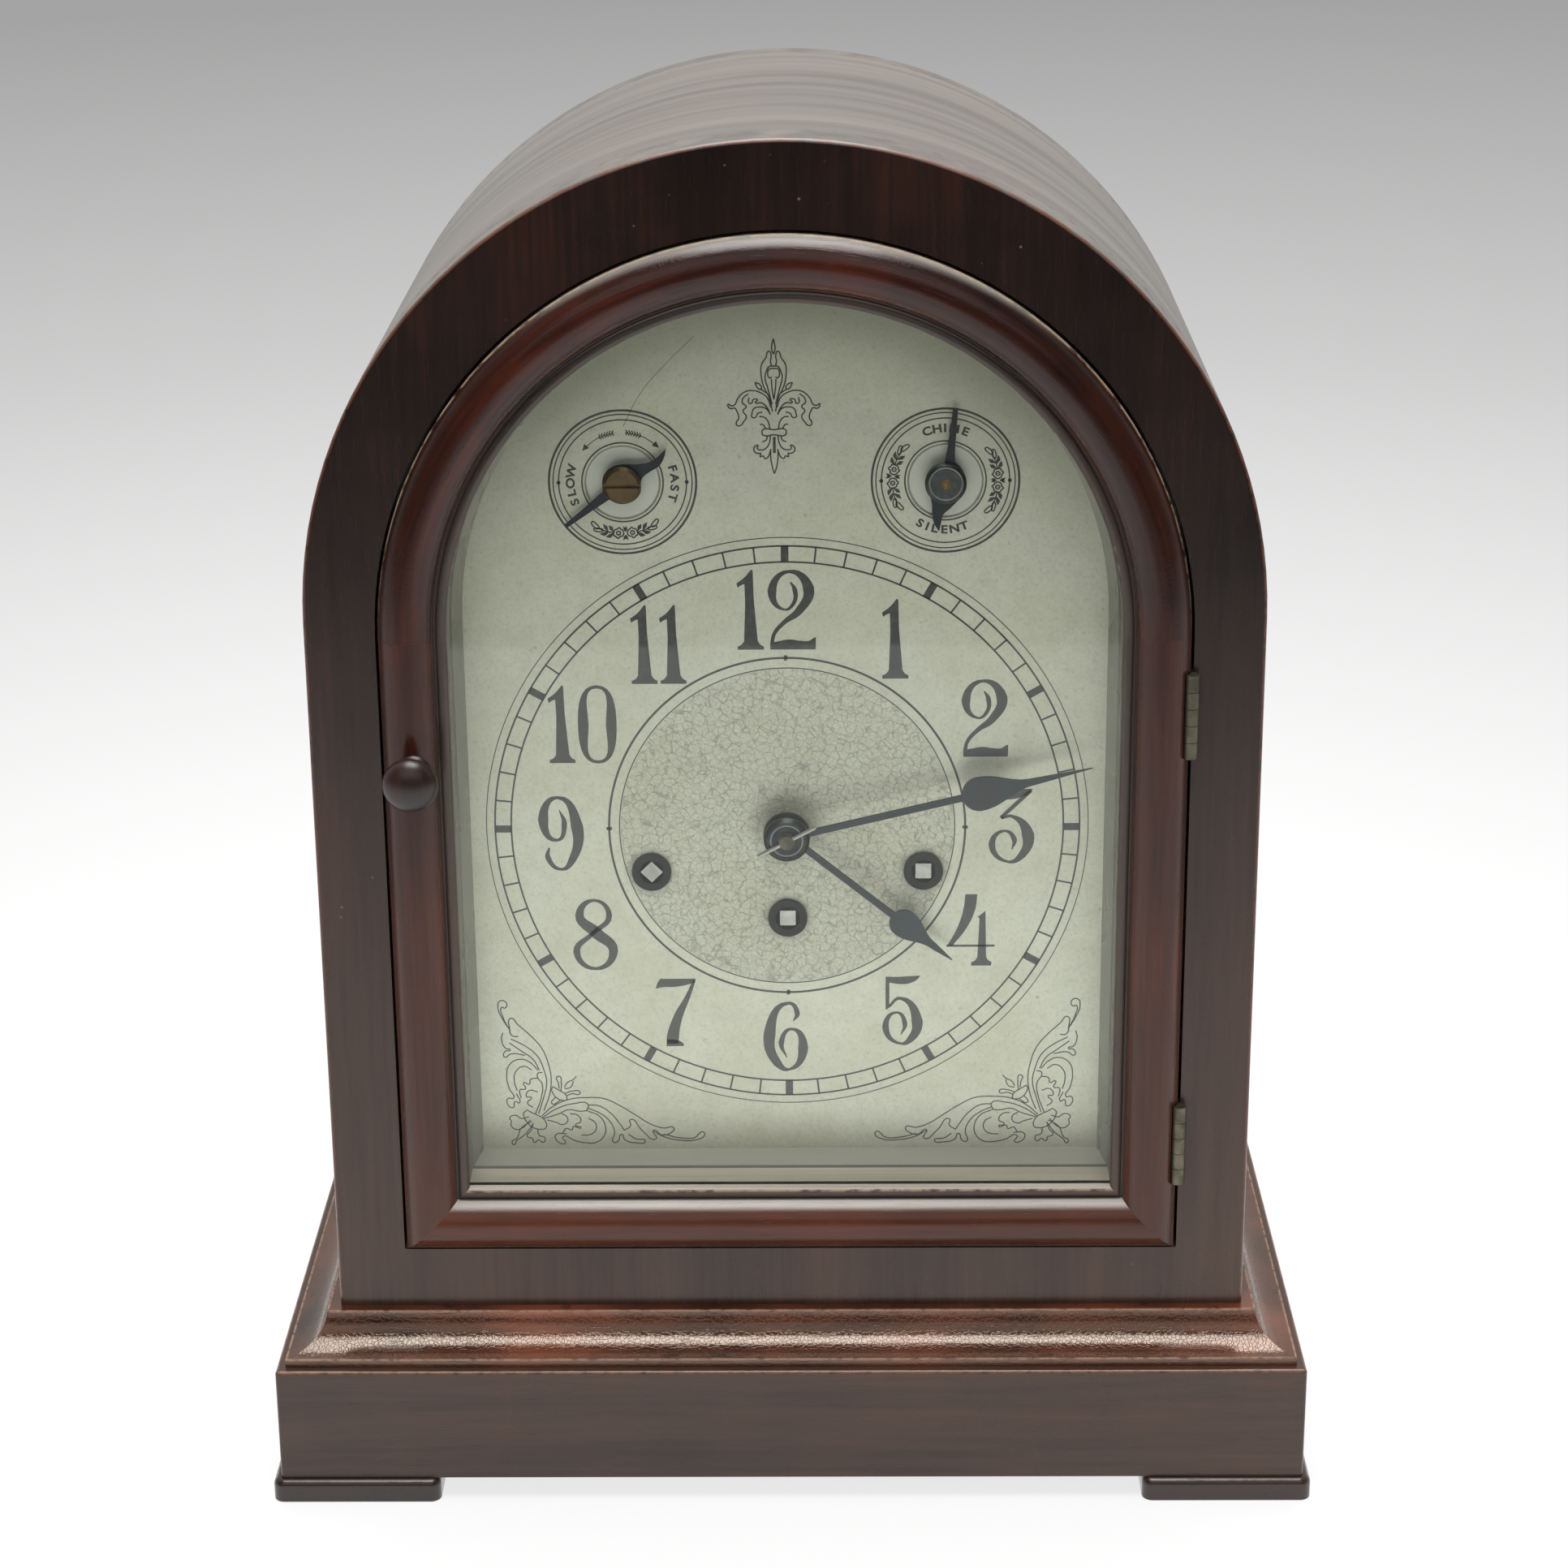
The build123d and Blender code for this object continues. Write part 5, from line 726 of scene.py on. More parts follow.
# Pale grey, far lighter than the mahogany: partly a painted reflection of the silvered dial, with dust on
# its up-facing faces
WOOD_SURROUND = Mahogany(
    "surround_wood",
    grain=Grain.DOOR,
    dark=(0.24, 0.232, 0.2),
    middle=(0.3, 0.29, 0.25),
    red=(0.33, 0.315, 0.27),
    dust=0.6,
    dust_and_highlight_tint=(0.4, 0.375, 0.32),
)
WOOD_KNOB = Mahogany(
    "knob_wood", grain=Grain.UPRIGHT, middle=(0.026, 0.0105, 0.008), red=(0.055, 0.017, 0.011), gloss=0.33
)
WOOD_BASE = Mahogany(
    "base_wood",
    grain=Grain.LEVEL,
    middle=(0.034, 0.0155, 0.009),
    red=(0.075, 0.0245, 0.0125),
    shine=0.42,
    painted_floor_light=0.36,
    edges=((17.0, 40.5),),
)
WOOD_FOOT = Mahogany(
    "foot_wood", grain=Grain.LEVEL, painted_floor_light=0.12, edges=((18.9, 6.8),), worn=(0.16, 0.12, 0.09)
)
WOOD_COVE = Mahogany(
    "cove_wood",
    grain=Grain.LEVEL,
    # Lighter and redder than the base's mahogany: partly a painted warm highlight on the cove
    middle=(0.09, 0.027, 0.013),
    red=(0.25, 0.065, 0.03),
    gloss=0.16,
    shine=0.93,
    shine_tint=(1.0, 0.85, 0.72),
    crackle=0.4,
    edges=((14.4, 43.3), (3.5, 53.0)),
    worn=(0.34, 0.19, 0.12),
    edge_width=0.8,
)
WOOD_INSIDE = BareWood("bare_boards")
BRASS = Metal("lacquered_brass")
OLD_BRASS = Metal(
    "old_brass", clean=(0.14, 0.128, 0.09), tarnish=(0.07, 0.066, 0.05), share=0.8, gloss=0.42, sheen=0.85
)
BLUED = Metal(
    "blued_steel", clean=(0.05, 0.06, 0.07), tarnish=(0.075, 0.066, 0.058), share=0.45, gloss=0.34
)
STEEL = Metal("bright_steel", clean=(0.5, 0.5, 0.48), tarnish=(0.28, 0.25, 0.21), share=0.4, gloss=0.28)
SOOTY = Metal(
    "sooty_steel", clean=(0.012, 0.012, 0.012), tarnish=(0.022, 0.02, 0.017), gloss=0.5, sheen=0.4
)
WORN_STEEL = Metal(
    "worn_steel", clean=(0.52, 0.53, 0.5), tarnish=(0.34, 0.33, 0.29), share=0.6, gloss=0.38
)
IRON = BlackPaint("black_iron")
COLLET = TurnedBoss("blued_collet", core=2.1)
CHIME_BOSS = TurnedBoss("blued_boss", centre=CHIME_CENTRE, core=1.2, steel=(0.115, 0.128, 0.13))
SCREW_BRASS = Metal(
    "old_screw", clean=(0.2, 0.14, 0.075), tarnish=(0.1, 0.07, 0.045), share=0.8, gloss=0.34
)
SILVER = Silvered("silvered_dial")
WAX = DialWax("dial_wax")
GLASS = PaneGlass("pane_glass")
FLOOR = PaleFloor("pale_floor")
CARD = DarkCard("dark_card")

NODE_FINISHES: dict[Finish, tuple[str, ...]] = {
    WOOD_FRONT: ("front_frame", "back_frame", "back_door"),
    WOOD_SHELL: ("case_shell",),
    WOOD_DOOR: ("door_frame",),
    WOOD_REVEAL: ("glazing_bead",),
    WOOD_SURROUND: ("dial_surround",),
    WOOD_KNOB: ("door_knob",),
    WOOD_BASE: ("plinth",),
    WOOD_FOOT: ("bracket_feet",),
    WOOD_COVE: ("base_moulding",),
    WOOD_INSIDE: ("base_board", "seat_board"),
    GLASS: ("door_glass",),
    SILVER: ("dial_plate",),
    OLD_BRASS: (
        "door_hinge_halves", "case_hinge_halves", "back_door_hinge_halves", "back_case_hinge_halves",
        "centre_wheel",
    ),
    BLUED: ("minute_hand", "hour_hand", "regulator_hand", "chime_hand"),
    SOOTY: ("winding_collars",),
    STEEL: (
        "hand_pin", "movement_screws", "clicks", "pallet_anchor", "pendulum_rod", "gong_rods",
        "hammer_1", "hammer_2", "hammer_3", "hammer_4",
    ),
    WORN_STEEL: ("going_winding_arbor", "strike_winding_arbor", "chime_winding_arbor"),
    IRON: ("gong_block",),
    COLLET: ("hand_collet",),
    CHIME_BOSS: ("chime_arbor",),
    SCREW_BRASS: ("regulator_arbor",),
    BRASS: (
        "back_door_knob", "front_plate", "back_plate",
        "plate_pillars", "going_barrel", "strike_barrel", "chime_barrel",
        "third_wheel", "escape_wheel", "cannon_pinion", "minute_wheel", "hour_wheel", "back_cock",
        "pendulum_bob", "rating_nut", "strike_wheel", "chime_drum", "chime_bridge",
    ),
}


def dress_nodes(nodes: dict[str, bpy.types.Object]) -> None:
    """Gives every CAD node its finish.

    Args:
        nodes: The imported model's objects by name.
    """
    for finish, names in NODE_FINISHES.items():
        for name in names:
            node = nodes[name]
            node.data.materials.clear()
            node.data.materials.append(finish.material())
            LOG.info("%s wears %s", name, finish.name)


@dataclass(frozen=True)
class PenStroke:
    """A drawn line whose points each have a half-width, all in millimetres."""

    points: tuple[tuple[float, float, float], ...]
    closed: bool = False

    @classmethod
    def even(cls, half: float, *points: Point, closed: bool = False) -> "PenStroke":
        """A line of one half-width."""
        return cls(tuple((x, z, half) for x, z in points), closed)

    def mirrored(self, side: float, weight: float = 1.0) -> "PenStroke":
        """The line, on its other side where side is -1, with its half-widths times weight."""
        return PenStroke(tuple((side * x, z, weight * half) for x, z, half in self.points), self.closed)

    def bent(self, radius: float, angle: float) -> "PenStroke":
        """Wraps a level line about a centre.

        Args:
            radius: Distance of the line's zero height from the centre.
            angle: Where its zero length comes to lie, in degrees clockwise from twelve.

        Returns:
            The wrapped line.
        """
        wrapped = []
        for along, out, half in self.points:
            turn = math.radians(angle) + along / radius
            wrapped.append(((radius + out) * math.sin(turn), (radius + out) * math.cos(turn), half))
        return PenStroke(tuple(wrapped), self.closed)

    def add_to(self, curve: bpy.types.Curve, place: Matrix) -> None:
        """Adds the line to a curve as a smooth spline.

        Args:
            curve: The curve that holds the lines of one drawing.
            place: Turns the line's own millimetres into the drawing's.
        """
        spline = curve.splines.new("BEZIER")
        spline.bezier_points.add(len(self.points) - 1)
        spline.use_cyclic_u = self.closed
        spline.resolution_u = 6
        size = abs(place.to_scale().x)
        for spot, (x, z, half) in zip(spline.bezier_points, self.points):
            spot.co = place @ Vector((x, z, 0.0))
            spot.radius = half * size
            spot.handle_left_type = "AUTO"
            spot.handle_right_type = "AUTO"


@dataclass(frozen=True)
class CutShape:
    """A filled outline in millimetres; corners are sharp unless their number is in rounds."""

    points: tuple[Point, ...]
    rounds: tuple[int, ...] = ()

    def add_to(self, curve: bpy.types.Curve, place: Matrix) -> None:
        """Adds the outline to a flat curve.

        Args:
            curve: The curve that holds the outlines of one drawing.
            place: Turns the outline's own millimetres into the drawing's.
        """
        spline = curve.splines.new("BEZIER")
        spline.bezier_points.add(len(self.points) - 1)
        spline.use_cyclic_u = True
        spline.resolution_u = 8
        for index, (spot, (x, z)) in enumerate(zip(spline.bezier_points, self.points)):
            spot.co = place @ Vector((x, z, 0.0))
            kind = "AUTO" if index in self.rounds else "VECTOR"
            spot.handle_left_type = kind
            spot.handle_right_type = kind


LETTER_WIDTHS: dict[str, float] = {"I": 1.6, "W": 3.6, "M": 3.4, "L": 2.5, "O": 3.1}


def take_curve(form: bmesh.types.BMesh, curve: bpy.types.Curve, place: Matrix | None = None) -> None:
    """Adds a curve's mesh to a form.

    Args:
        form: The form that grows.
        curve: A curve or a piece of text.
        place: Where its mesh is put; as it is when left out.
    """
    holder = bpy.data.objects.new(curve.name, curve)
    mesh = bpy.data.meshes.new_from_object(holder)
    bpy.data.objects.remove(holder)
    if place is not None:
        mesh.transform(place)
    form.from_mesh(mesh)
    bpy.data.meshes.remove(mesh)


class FlatDrawing:
    """Gathers lines and outlines on the dial and turns them into one thin mesh."""

    def __init__(self, name: str) -> None:
        """Starts an empty drawing."""
        self.name = name
        self.form = bmesh.new()
        self.lines = bpy.data.curves.new(name + "_lines", "CURVE")
        self.shapes = bpy.data.curves.new(name + "_shapes", "CURVE")
        for curve in (self.lines, self.shapes):
            curve.dimensions = "2D"
        self.lines.bevel_depth = 1.0
        self.lines.bevel_resolution = 0
        self.lines.use_fill_caps = True
        self.lines.fill_mode = "NONE"
        self.shapes.fill_mode = "BOTH"

    def add(self, marks: Iterable[PenStroke | CutShape], place: Matrix) -> None:
        """Draws marks at a place."""
        for mark in marks:
            mark.add_to(self.lines if isinstance(mark, PenStroke) else self.shapes, place)

    def ring(self, centre: Point, radius: float, width: float, steps: int) -> None:
        """Draws a ring.

        Args:
            centre: Its middle on the dial.
            radius: Radius of the middle of the line.
            width: Width of the line.
            steps: Number of straight steps.
        """
        place = Matrix.Translation((*centre, 0.0))
        edges = []
        for side in (-0.5, 0.5):
            made = bmesh.ops.create_circle(
                self.form, segments=steps, radius=radius + side * width, matrix=place
            )
            edges += list({edge for spot in made["verts"] for edge in spot.link_edges})
        bmesh.ops.bridge_loops(self.form, edges=edges)

    def bar(self, place: Matrix, width: float, height: float) -> None:
        """Draws an upright bar about its middle."""
        size = Matrix.Diagonal((width, height, 1.0, 1.0))
        bmesh.ops.create_grid(self.form, x_segments=1, y_segments=1, size=0.5, matrix=place @ size)

    def word(self, text: str, centre: Point, radius: float, angle: float, inward: bool = False) -> None:
        """Writes a word about a centre, letter by letter.

        Args:
            text: The word.
            centre: The middle of its circle on the dial.
            radius: Radius of the middle of the letters.
            angle: Where the middle of the word lies, in degrees clockwise from twelve.
            inward: Whether the letters' tops face the centre.
        """
        widths = [LETTER_WIDTHS.get(letter, LETTER_WIDTH) for letter in text]
        sense = -1.0 if inward else 1.0
        along = -sum(widths) / 2
        for letter, width in zip(text, widths):
            turn = math.radians(angle) + sense * (along + width / 2) / radius
            along += width
            spot = (centre[0] + radius * math.sin(turn), centre[1] + radius * math.cos(turn), 0.0)
            lean = Matrix.Rotation(-turn + (math.pi if inward else 0.0), 4, "Z")
            size = Matrix.Diagonal((LETTER_STRETCH, 1.0, 1.0, 1.0))
            font = bpy.data.curves.new(self.name + "_letter", "FONT")
            font.body = letter
            font.size = LETTER_HEIGHT
            font.offset = LETTER_WEIGHT
            font.align_x = "CENTER"
            drop = Matrix.Translation((0.0, -LETTER_DROP, 0.0))
            take_curve(self.form, font, Matrix.Translation(spot) @ lean @ size @ drop)

    def finish(self) -> None:
        """Lays the drawing on the dial as a piece that rides on the case."""
        for curve in (self.lines, self.shapes):
            if not curve.splines:
                continue
            known = set(self.form.faces)
            take_curve(self.form, curve)
            if curve is self.lines:
                fresh = [face for face in self.form.faces if face not in known]
                under = [face for face in fresh if face.normal.z < 0.05]
                bmesh.ops.delete(self.form, geom=under, context="FACES")
        bmesh.ops.scale(self.form, vec=(1.0, 1.0, 0.0), verts=self.form.verts)
        flatten = Matrix.Rotation(math.radians(90.0), 4, "X")
        lay = Matrix.Translation((0.0, DIAL_FACE - PRINT_PROUD, 0.0)) @ flatten
        bmesh.ops.transform(self.form, matrix=Matrix.Scale(MM, 4) @ lay, verts=self.form.verts)
        bmesh.ops.dissolve_degenerate(self.form, dist=1e-6, edges=self.form.edges)
        for face in self.form.faces:
            if face.normal.y > 0.0:
                face.normal_flip()
        make_piece(self.name, self.form, WAX, "case")


def make_object(name: str, form: bmesh.types.BMesh, finish: Finish) -> bpy.types.Object:
    """Turns a form into a flat-shaded object of the scene.

    Args:
        name: The object's name.
        form: Its shape, in metres, in place.
        finish: What it is made of.

    Returns:
        The object.
    """
    mesh = bpy.data.meshes.new(name)
    for face in form.faces:
        face.smooth = False
    form.to_mesh(mesh)
    form.free()
    mesh.materials.append(finish.material())
    made = bpy.data.objects.new(name, mesh)
    bpy.context.scene.collection.objects.link(made)
    return made


def make_piece(
    name: str, form: bmesh.types.BMesh, finish: Finish, body: str
) -> bpy.types.Object:
    """Turns a form into a piece of the clock.

    Args:
        name: The piece's name.
        form: Its shape, in metres, in place.
        finish: What it is made of.
        body: The body it rides on.

    Returns:
        The piece's object.
    """
    piece = make_object(name, form, finish)
    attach(piece, body)
    LOG.info("%s rides on %s", name, body)
    return piece


DIGIT_WIDTHS: dict[str, float] = {
    "0": 10.8, "1": 7.0, "2": 13.2, "3": 13.2, "4": 14.0,
    "5": 12.4, "6": 13.4, "7": 12.4, "8": 13.4, "9": 12.8,
}

# The numerals, each drawn about its own middle at the full digit height
DIGITS: dict[str, tuple[PenStroke | CutShape, ...]] = {
    "0": (
        CutShape(((0.0, 11.2), (5.25, 0.0), (0.0, -11.2), (-5.25, 0.0)), (0, 1, 2, 3)),
        CutShape(((0.0, 10.3), (2.35, 0.0), (0.0, -10.3), (-2.35, 0.0)), (0, 1, 2, 3)),
    ),
    "1": (
        CutShape((
            (-3.6, 7.4), (-3.3, 6.2), (-2.3, 6.9), (-1.5, 7.2), (-1.35, 2.0), (-1.75, -8.6),
            (-2.6, -9.7), (-3.5, -10.1), (-3.5, -11.0), (3.5, -11.0), (3.5, -10.1), (2.6, -9.6),
            (1.9, -8.6), (0.95, 3.0), (0.75, 11.0), (0.3, 11.2), (-1.5, 9.0),
        ), (2, 6, 11, 16)),
    ),
    "2": (
        PenStroke((
            (-0.2, 7.7, 0.18), (0.95, 5.6, 0.66), (0.6, 1.8, 0.5), (-1.9, 0.1, 0.28),
            (-5.1, 5.2, 1.2), (-0.6, 10.6, 0.4), (4.6, 5.9, 1.5), (2.0, -0.3, 1.05),
            (-1.9, -3.4, 0.6), (-4.6, -6.6, 0.5), (-5.2, -9.0, 0.5),
        )),
        CutShape((
            (-5.7, -11.0), (6.4, -11.0), (6.5, -7.6), (6.0, -7.7), (4.6, -8.6), (2.6, -8.6),
            (-0.8, -8.2), (-3.6, -8.7), (-4.7, -8.9), (-5.7, -8.9),
        ), (4, 5, 6, 7)),
    ),
    "3": (
        CutShape(
            ((-4.6, 11.0), (-5.4, 7.6), (-4.0, 8.1), (-0.6, 7.9), (4.4, 9.4), (5.9, 11.0)),
            (2, 3, 4),
        ),
        PenStroke(((5.3, 10.5, 0.5), (1.0, 6.4, 0.6), (-3.0, 2.5, 0.5))),
        PenStroke((
            (-2.9, 2.4, 0.4), (0.2, 2.9, 0.45), (4.6, -2.6, 1.75), (3.0, -8.6, 1.05),
            (-0.8, -10.6, 0.36), (-5.4, -5.4, 0.95), (-2.0, -1.4, 0.34), (0.8, -3.9, 0.75),
            (0.2, -6.9, 0.15),
        )),
    ),
    "4": (
        CutShape(
            ((-1.6, 11.0), (1.8, 11.0), (1.3, 6.5), (-1.2, 0.6), (-5.1, -4.7), (-6.8, -5.0),
             (-3.9, 0.6), (-2.1, 6.5)),
            (2, 3, 6, 7),
        ),
        CutShape(((-6.9, -4.5), (6.9, -4.5), (6.9, -5.15), (-6.9, -5.15))),
        CutShape((
            (4.2, 5.9), (4.5, -8.2), (5.1, -9.3), (6.1, -9.9), (5.9, -11.0), (0.2, -11.0),
            (0.2, -10.0), (1.3, -9.4), (2.0, -8.2), (2.5, 3.7), (1.9, 4.0),
        ), (2, 7)),
    ),
    "5": (
        CutShape((
            (-5.0, 10.7), (-1.5, 10.6), (5.2, 11.0), (4.4, 9.9), (2.4, 8.7), (-0.2, 8.3),
            (-3.9, 8.8), (-3.9, 1.8), (-4.3, 0.4), (-5.0, 0.2),
        ), (3, 4, 5)),
        PenStroke((
            (-4.2, 1.0, 0.4), (-0.6, 3.8, 0.5), (4.3, -3.6, 1.65), (2.6, -9.0, 1.1),
            (-0.5, -10.7, 0.34), (-5.0, -5.6, 1.0), (-1.8, -0.7, 0.34), (0.7, -4.3, 0.76),
            (-0.5, -7.9, 0.12),
        )),
    ),
    "6": (
        PenStroke((
            (2.2, 4.8, 0.14), (3.4, 7.2, 0.8), (0.9, 10.5, 0.45), (-4.75, 0.6, 1.75),
            (-2.6, -8.4, 1.25), (0.9, -10.6, 0.38), (5.05, -3.8, 1.5), (1.9, 2.3, 0.4),
            (-1.3, -1.9, 0.82), (0.3, -6.9, 0.12),
        )),
    ),
    "7": (
        CutShape(
            ((-4.6, 11.0), (6.1, 11.0), (5.9, 9.9), (4.3, 9.3), (0.0, 8.4), (-3.8, 8.3), (-6.0, 7.8),
             (-5.5, 9.5)),
            (3, 4, 5),
        ),
        PenStroke(
            ((5.6, 10.4, 0.42), (3.6, 5.2, 0.75), (0.5, -1.6, 1.35), (-1.1, -8.0, 1.85),
             (-1.2, -10.1, 1.75))
        ),
        CutShape(((-3.1, -11.0), (2.1, -10.9), (2.2, -10.2), (0.9, -9.2), (-2.9, -8.6)), (3,)),
    ),
    "8": (
        PenStroke((
            (0.1, 10.6, 0.4), (-4.3, 6.2, 1.2), (0.3, 0.7, 1.75), (5.2, -5.0, 1.3),
            (0.1, -10.5, 0.45), (-5.4, -5.3, 1.0), (-0.8, 0.3, 0.6), (4.2, 5.9, 0.85),
        ), True),
    ),
    "9": (
        PenStroke((
            (-0.3, 6.9, 0.12), (1.0, 2.8, 0.8), (-1.2, -2.0, 0.4), (-4.8, 4.1, 1.45),
            (-0.7, 10.55, 0.42), (4.5, 1.9, 1.7), (2.9, -7.8, 1.05), (-0.1, -10.6, 0.4),
            (-3.8, -7.1, 0.78), (-3.4, -4.2, 0.25),
        )),
    ),
}


GARLAND_HALF: tuple[PenStroke, ...] = (
    PenStroke.even(
        0.15, (0.5, 0.0), (0.9, 0.8), (1.5, 1.0), (1.9, 1.5), (2.5, 1.1), (3.1, 0.8), (3.2, 0.0),
        (3.0, -0.8), (2.3, -1.1), (1.9, -1.5), (1.3, -1.1), (0.8, -0.8), closed=True,
    ),
    PenStroke.even(0.14, (1.35, 0.0), (1.9, 0.55), (2.45, 0.0), (1.9, -0.55), closed=True),
    PenStroke(((1.8, 0.0, 0.22), (2.0, 0.0, 0.22))),
    PenStroke.even(0.13, (3.2, 0.1), (5.0, 0.2), (7.4, 0.3)),
    PenStroke(((0.0, 0.4, 0.06), (0.2, 1.2, 0.3), (0.6, 1.9, 0.06))),
    PenStroke(((0.0, -0.4, 0.06), (0.2, -1.2, 0.3), (0.5, -1.9, 0.06))),
    PenStroke(((3.3, 0.3, 0.1), (4.0, 1.2, 0.42), (4.9, 1.7, 0.06))),
    PenStroke(((3.4, -0.2, 0.1), (4.2, -1.0, 0.42), (5.0, -1.6, 0.06))),
    PenStroke(((4.6, 0.2, 0.1), (5.5, 1.1, 0.42), (6.5, 1.5, 0.06))),
    PenStroke(((4.8, 0.1, 0.1), (5.8, -0.8, 0.4), (6.8, -1.3, 0.06))),
    PenStroke.even(0.14, (6.2, 0.3), (7.2, 1.2), (8.4, 1.1), (7.4, 0.3), closed=True),
    PenStroke.even(0.14, (7.4, 0.3), (8.6, -0.5), (9.9, -0.3), (8.9, 0.5), closed=True),
)

ARROW: tuple[PenStroke, ...] = (
    PenStroke.even(0.12, (0.0, 0.0), (4.6, 0.0), (9.0, 0.0)),
    PenStroke(((8.4, 0.0, 0.85), (10.2, 0.0, 0.05))),
    *(
        PenStroke.even(0.16, (0.2 + 0.72 * barb, 0.72 * side), (0.75 + 0.72 * barb, 0.0))
        for barb in range(6)
        for side in (-1.0, 1.0)
    ),
)

# The right half of the lily in the arch, on a grid of 36 to the millimetre from its foot
LILY_HALF: tuple[tuple[Point, ...], ...] = (
    ((0, 1330), (17, 1230), (0, 1175)),
    ((15, 615), (42, 745), (97, 865), (120, 975), (115, 1075), (72, 1145), (42, 1205), (22, 1160),
     (29, 1105), (17, 1060)),
    ((0, 1060), (37, 1060), (72, 1005), (82, 945), (57, 845), (17, 685)),
    ((0, 1035), (37, 1035), (57, 995), (37, 945), (17, 955)),
    ((22, 935), (17, 845), (0, 735)),
    ((182, 900), (137, 885), (117, 845), (137, 835), (182, 900)),
    ((130, 840), (67, 795)),
    ((29, 655), (67, 755), (137, 805), (217, 823), (287, 805), (347, 745), (382, 680), (417, 675),
     (439, 690), (442, 670), (417, 645), (377, 650), (362, 630), (342, 545), (362, 515), (357, 480),
     (322, 480), (297, 510), (267, 565), (297, 625), (267, 665), (302, 700), (297, 745), (247, 790)),
    ((237, 755), (242, 705), (217, 695), (197, 735), (157, 730), (177, 705), (117, 700),
     (67, 655), (37, 585)),
    ((37, 595), (77, 645), (137, 660), (192, 645), (212, 595), (212, 560), (177, 560), (157, 595),
     (112, 610)),
    ((142, 565), (97, 560), (57, 515), (42, 445)),
    ((82, 445), (107, 485), (137, 490)),
    ((67, 380), (77, 335), (117, 315)),
    ((39, 380), (42, 325), (77, 255), (127, 235), (167, 255), (157, 280), (192, 265), (192, 220),
     (157, 200),
     (132, 200), (137, 170), (107, 175), (92, 150), (62, 165), (47, 195), (32, 245)),
    ((7, 365), (7, 205)),
    ((35, 225), (35, 155), (15, 45), (0, 0)),
    ((0, 385), (110, 385), (117, 410), (110, 435), (0, 435)),
)

# The left corner scroll, on a grid of 22.8 to the millimetre across and 20.5 upwards
SCROLL: tuple[tuple[Point, ...], ...] = (
    ((260, 185), (325, 240), (435, 290), (565, 303), (675, 295), (775, 250), (875, 190), (975, 130),
     (1055, 105), (1125, 105), (1105, 75), (1045, 60), (990, 90), (1005, 35), (915, 90), (840, 160),
     (840, 120), (795, 90)),
    ((265, 175), (355, 230), (475, 265), (565, 260), (555, 220)),
    ((565, 255), (635, 250), (715, 200), (765, 140), (800, 90)),
    ((565, 235), (645, 200), (705, 150), (735, 80), (725, 15), (755, 20), (780, 65), (800, 30), (875, 10),
     (935, 20), (875, 35), (825, 65)),
    ((275, 170), (375, 200), (435, 225), (515, 215), (565, 220)),
    ((565, 215), (635, 185), (675, 120), (665, 55), (615, 15), (555, 10), (475, 25), (395, 50), (410, 10),
     (375, 10), (345, 40), (350, 65), (420, 70)),
    ((565, 170), (610, 140), (610, 90), (575, 65), (515, 60)),
    ((295, 160), (365, 140), (385, 130), (425, 145), (425, 180), (390, 200)),
    ((445, 200), (495, 190), (515, 150), (480, 125), (515, 110), (465, 115), (455, 95),
     (420, 105), (395, 75)),
    ((990, 85), (1055, 50), (1175, 25), (1275, 30), (1325, 60), (1315, 80), (1290, 70), (1265, 45),
     (1175, 40), (1055, 65)),
    ((165, 225), (290, 135), (270, 100), (140, 195), (165, 225)),
    ((175, 180), (125, 170), (90, 190), (50, 175), (60, 150), (55, 130), (85, 100), (125, 105),
     (185, 160)),
    ((195, 150), (125, 110), (90, 40), (60, 20), (70, 0), (90, 25), (150, 70), (205, 140)),
    ((200, 130), (185, 90), (160, 55), (195, 40), (205, 15), (235, 30), (265, 15), (275, 45), (240, 60),
     (230, 100)),
    ((340, 375), (430, 300), (415, 285), (330, 350), (340, 375)),
    ((390, 340), (395, 400), (385, 440), (365, 430), (375, 400), (380, 360)),
    ((415, 370), (435, 400), (475, 420), (495, 440)),
    ((415, 360), (455, 370), (475, 410)),
    ((415, 330), (465, 345), (515, 340), (510, 325), (465, 328), (425, 315)),
    ((355, 310), (330, 265), (385, 285)),
    ((275, 220), (315, 320), (330, 420), (315, 520), (275, 620), (205, 700), (125, 770),
     (80, 810), (70, 750),
     (85, 700), (125, 695)),
    ((70, 740), (25, 810), (0, 880), (15, 920), (55, 910), (45, 875), (25, 880), (30, 820), (75, 730)),
    ((240, 200), (275, 300), (300, 400), (285, 480), (245, 570), (175, 630), (75, 680)),
    ((220, 200), (260, 300), (270, 390), (240, 440), (245, 460), (275, 465)),
    ((255, 480), (215, 550), (145, 600), (65, 655)),
    ((25, 720), (15, 680), (40, 620), (70, 610), (35, 600), (30, 565), (75, 585), (165, 575)),
    ((245, 480), (195, 530), (135, 550), (65, 520), (40, 450), (55, 360), (80, 300), (45, 300), (40, 260),
     (75, 240), (90, 280), (115, 270), (100, 330)),
    ((205, 480), (155, 505), (100, 470), (90, 400), (105, 350)),
    ((245, 430), (195, 420), (185, 390), (150, 400), (160, 360), (125, 355), (130, 300)),
    ((240, 340), (185, 350), (165, 310), (195, 305), (170, 270), (205, 240)),
)


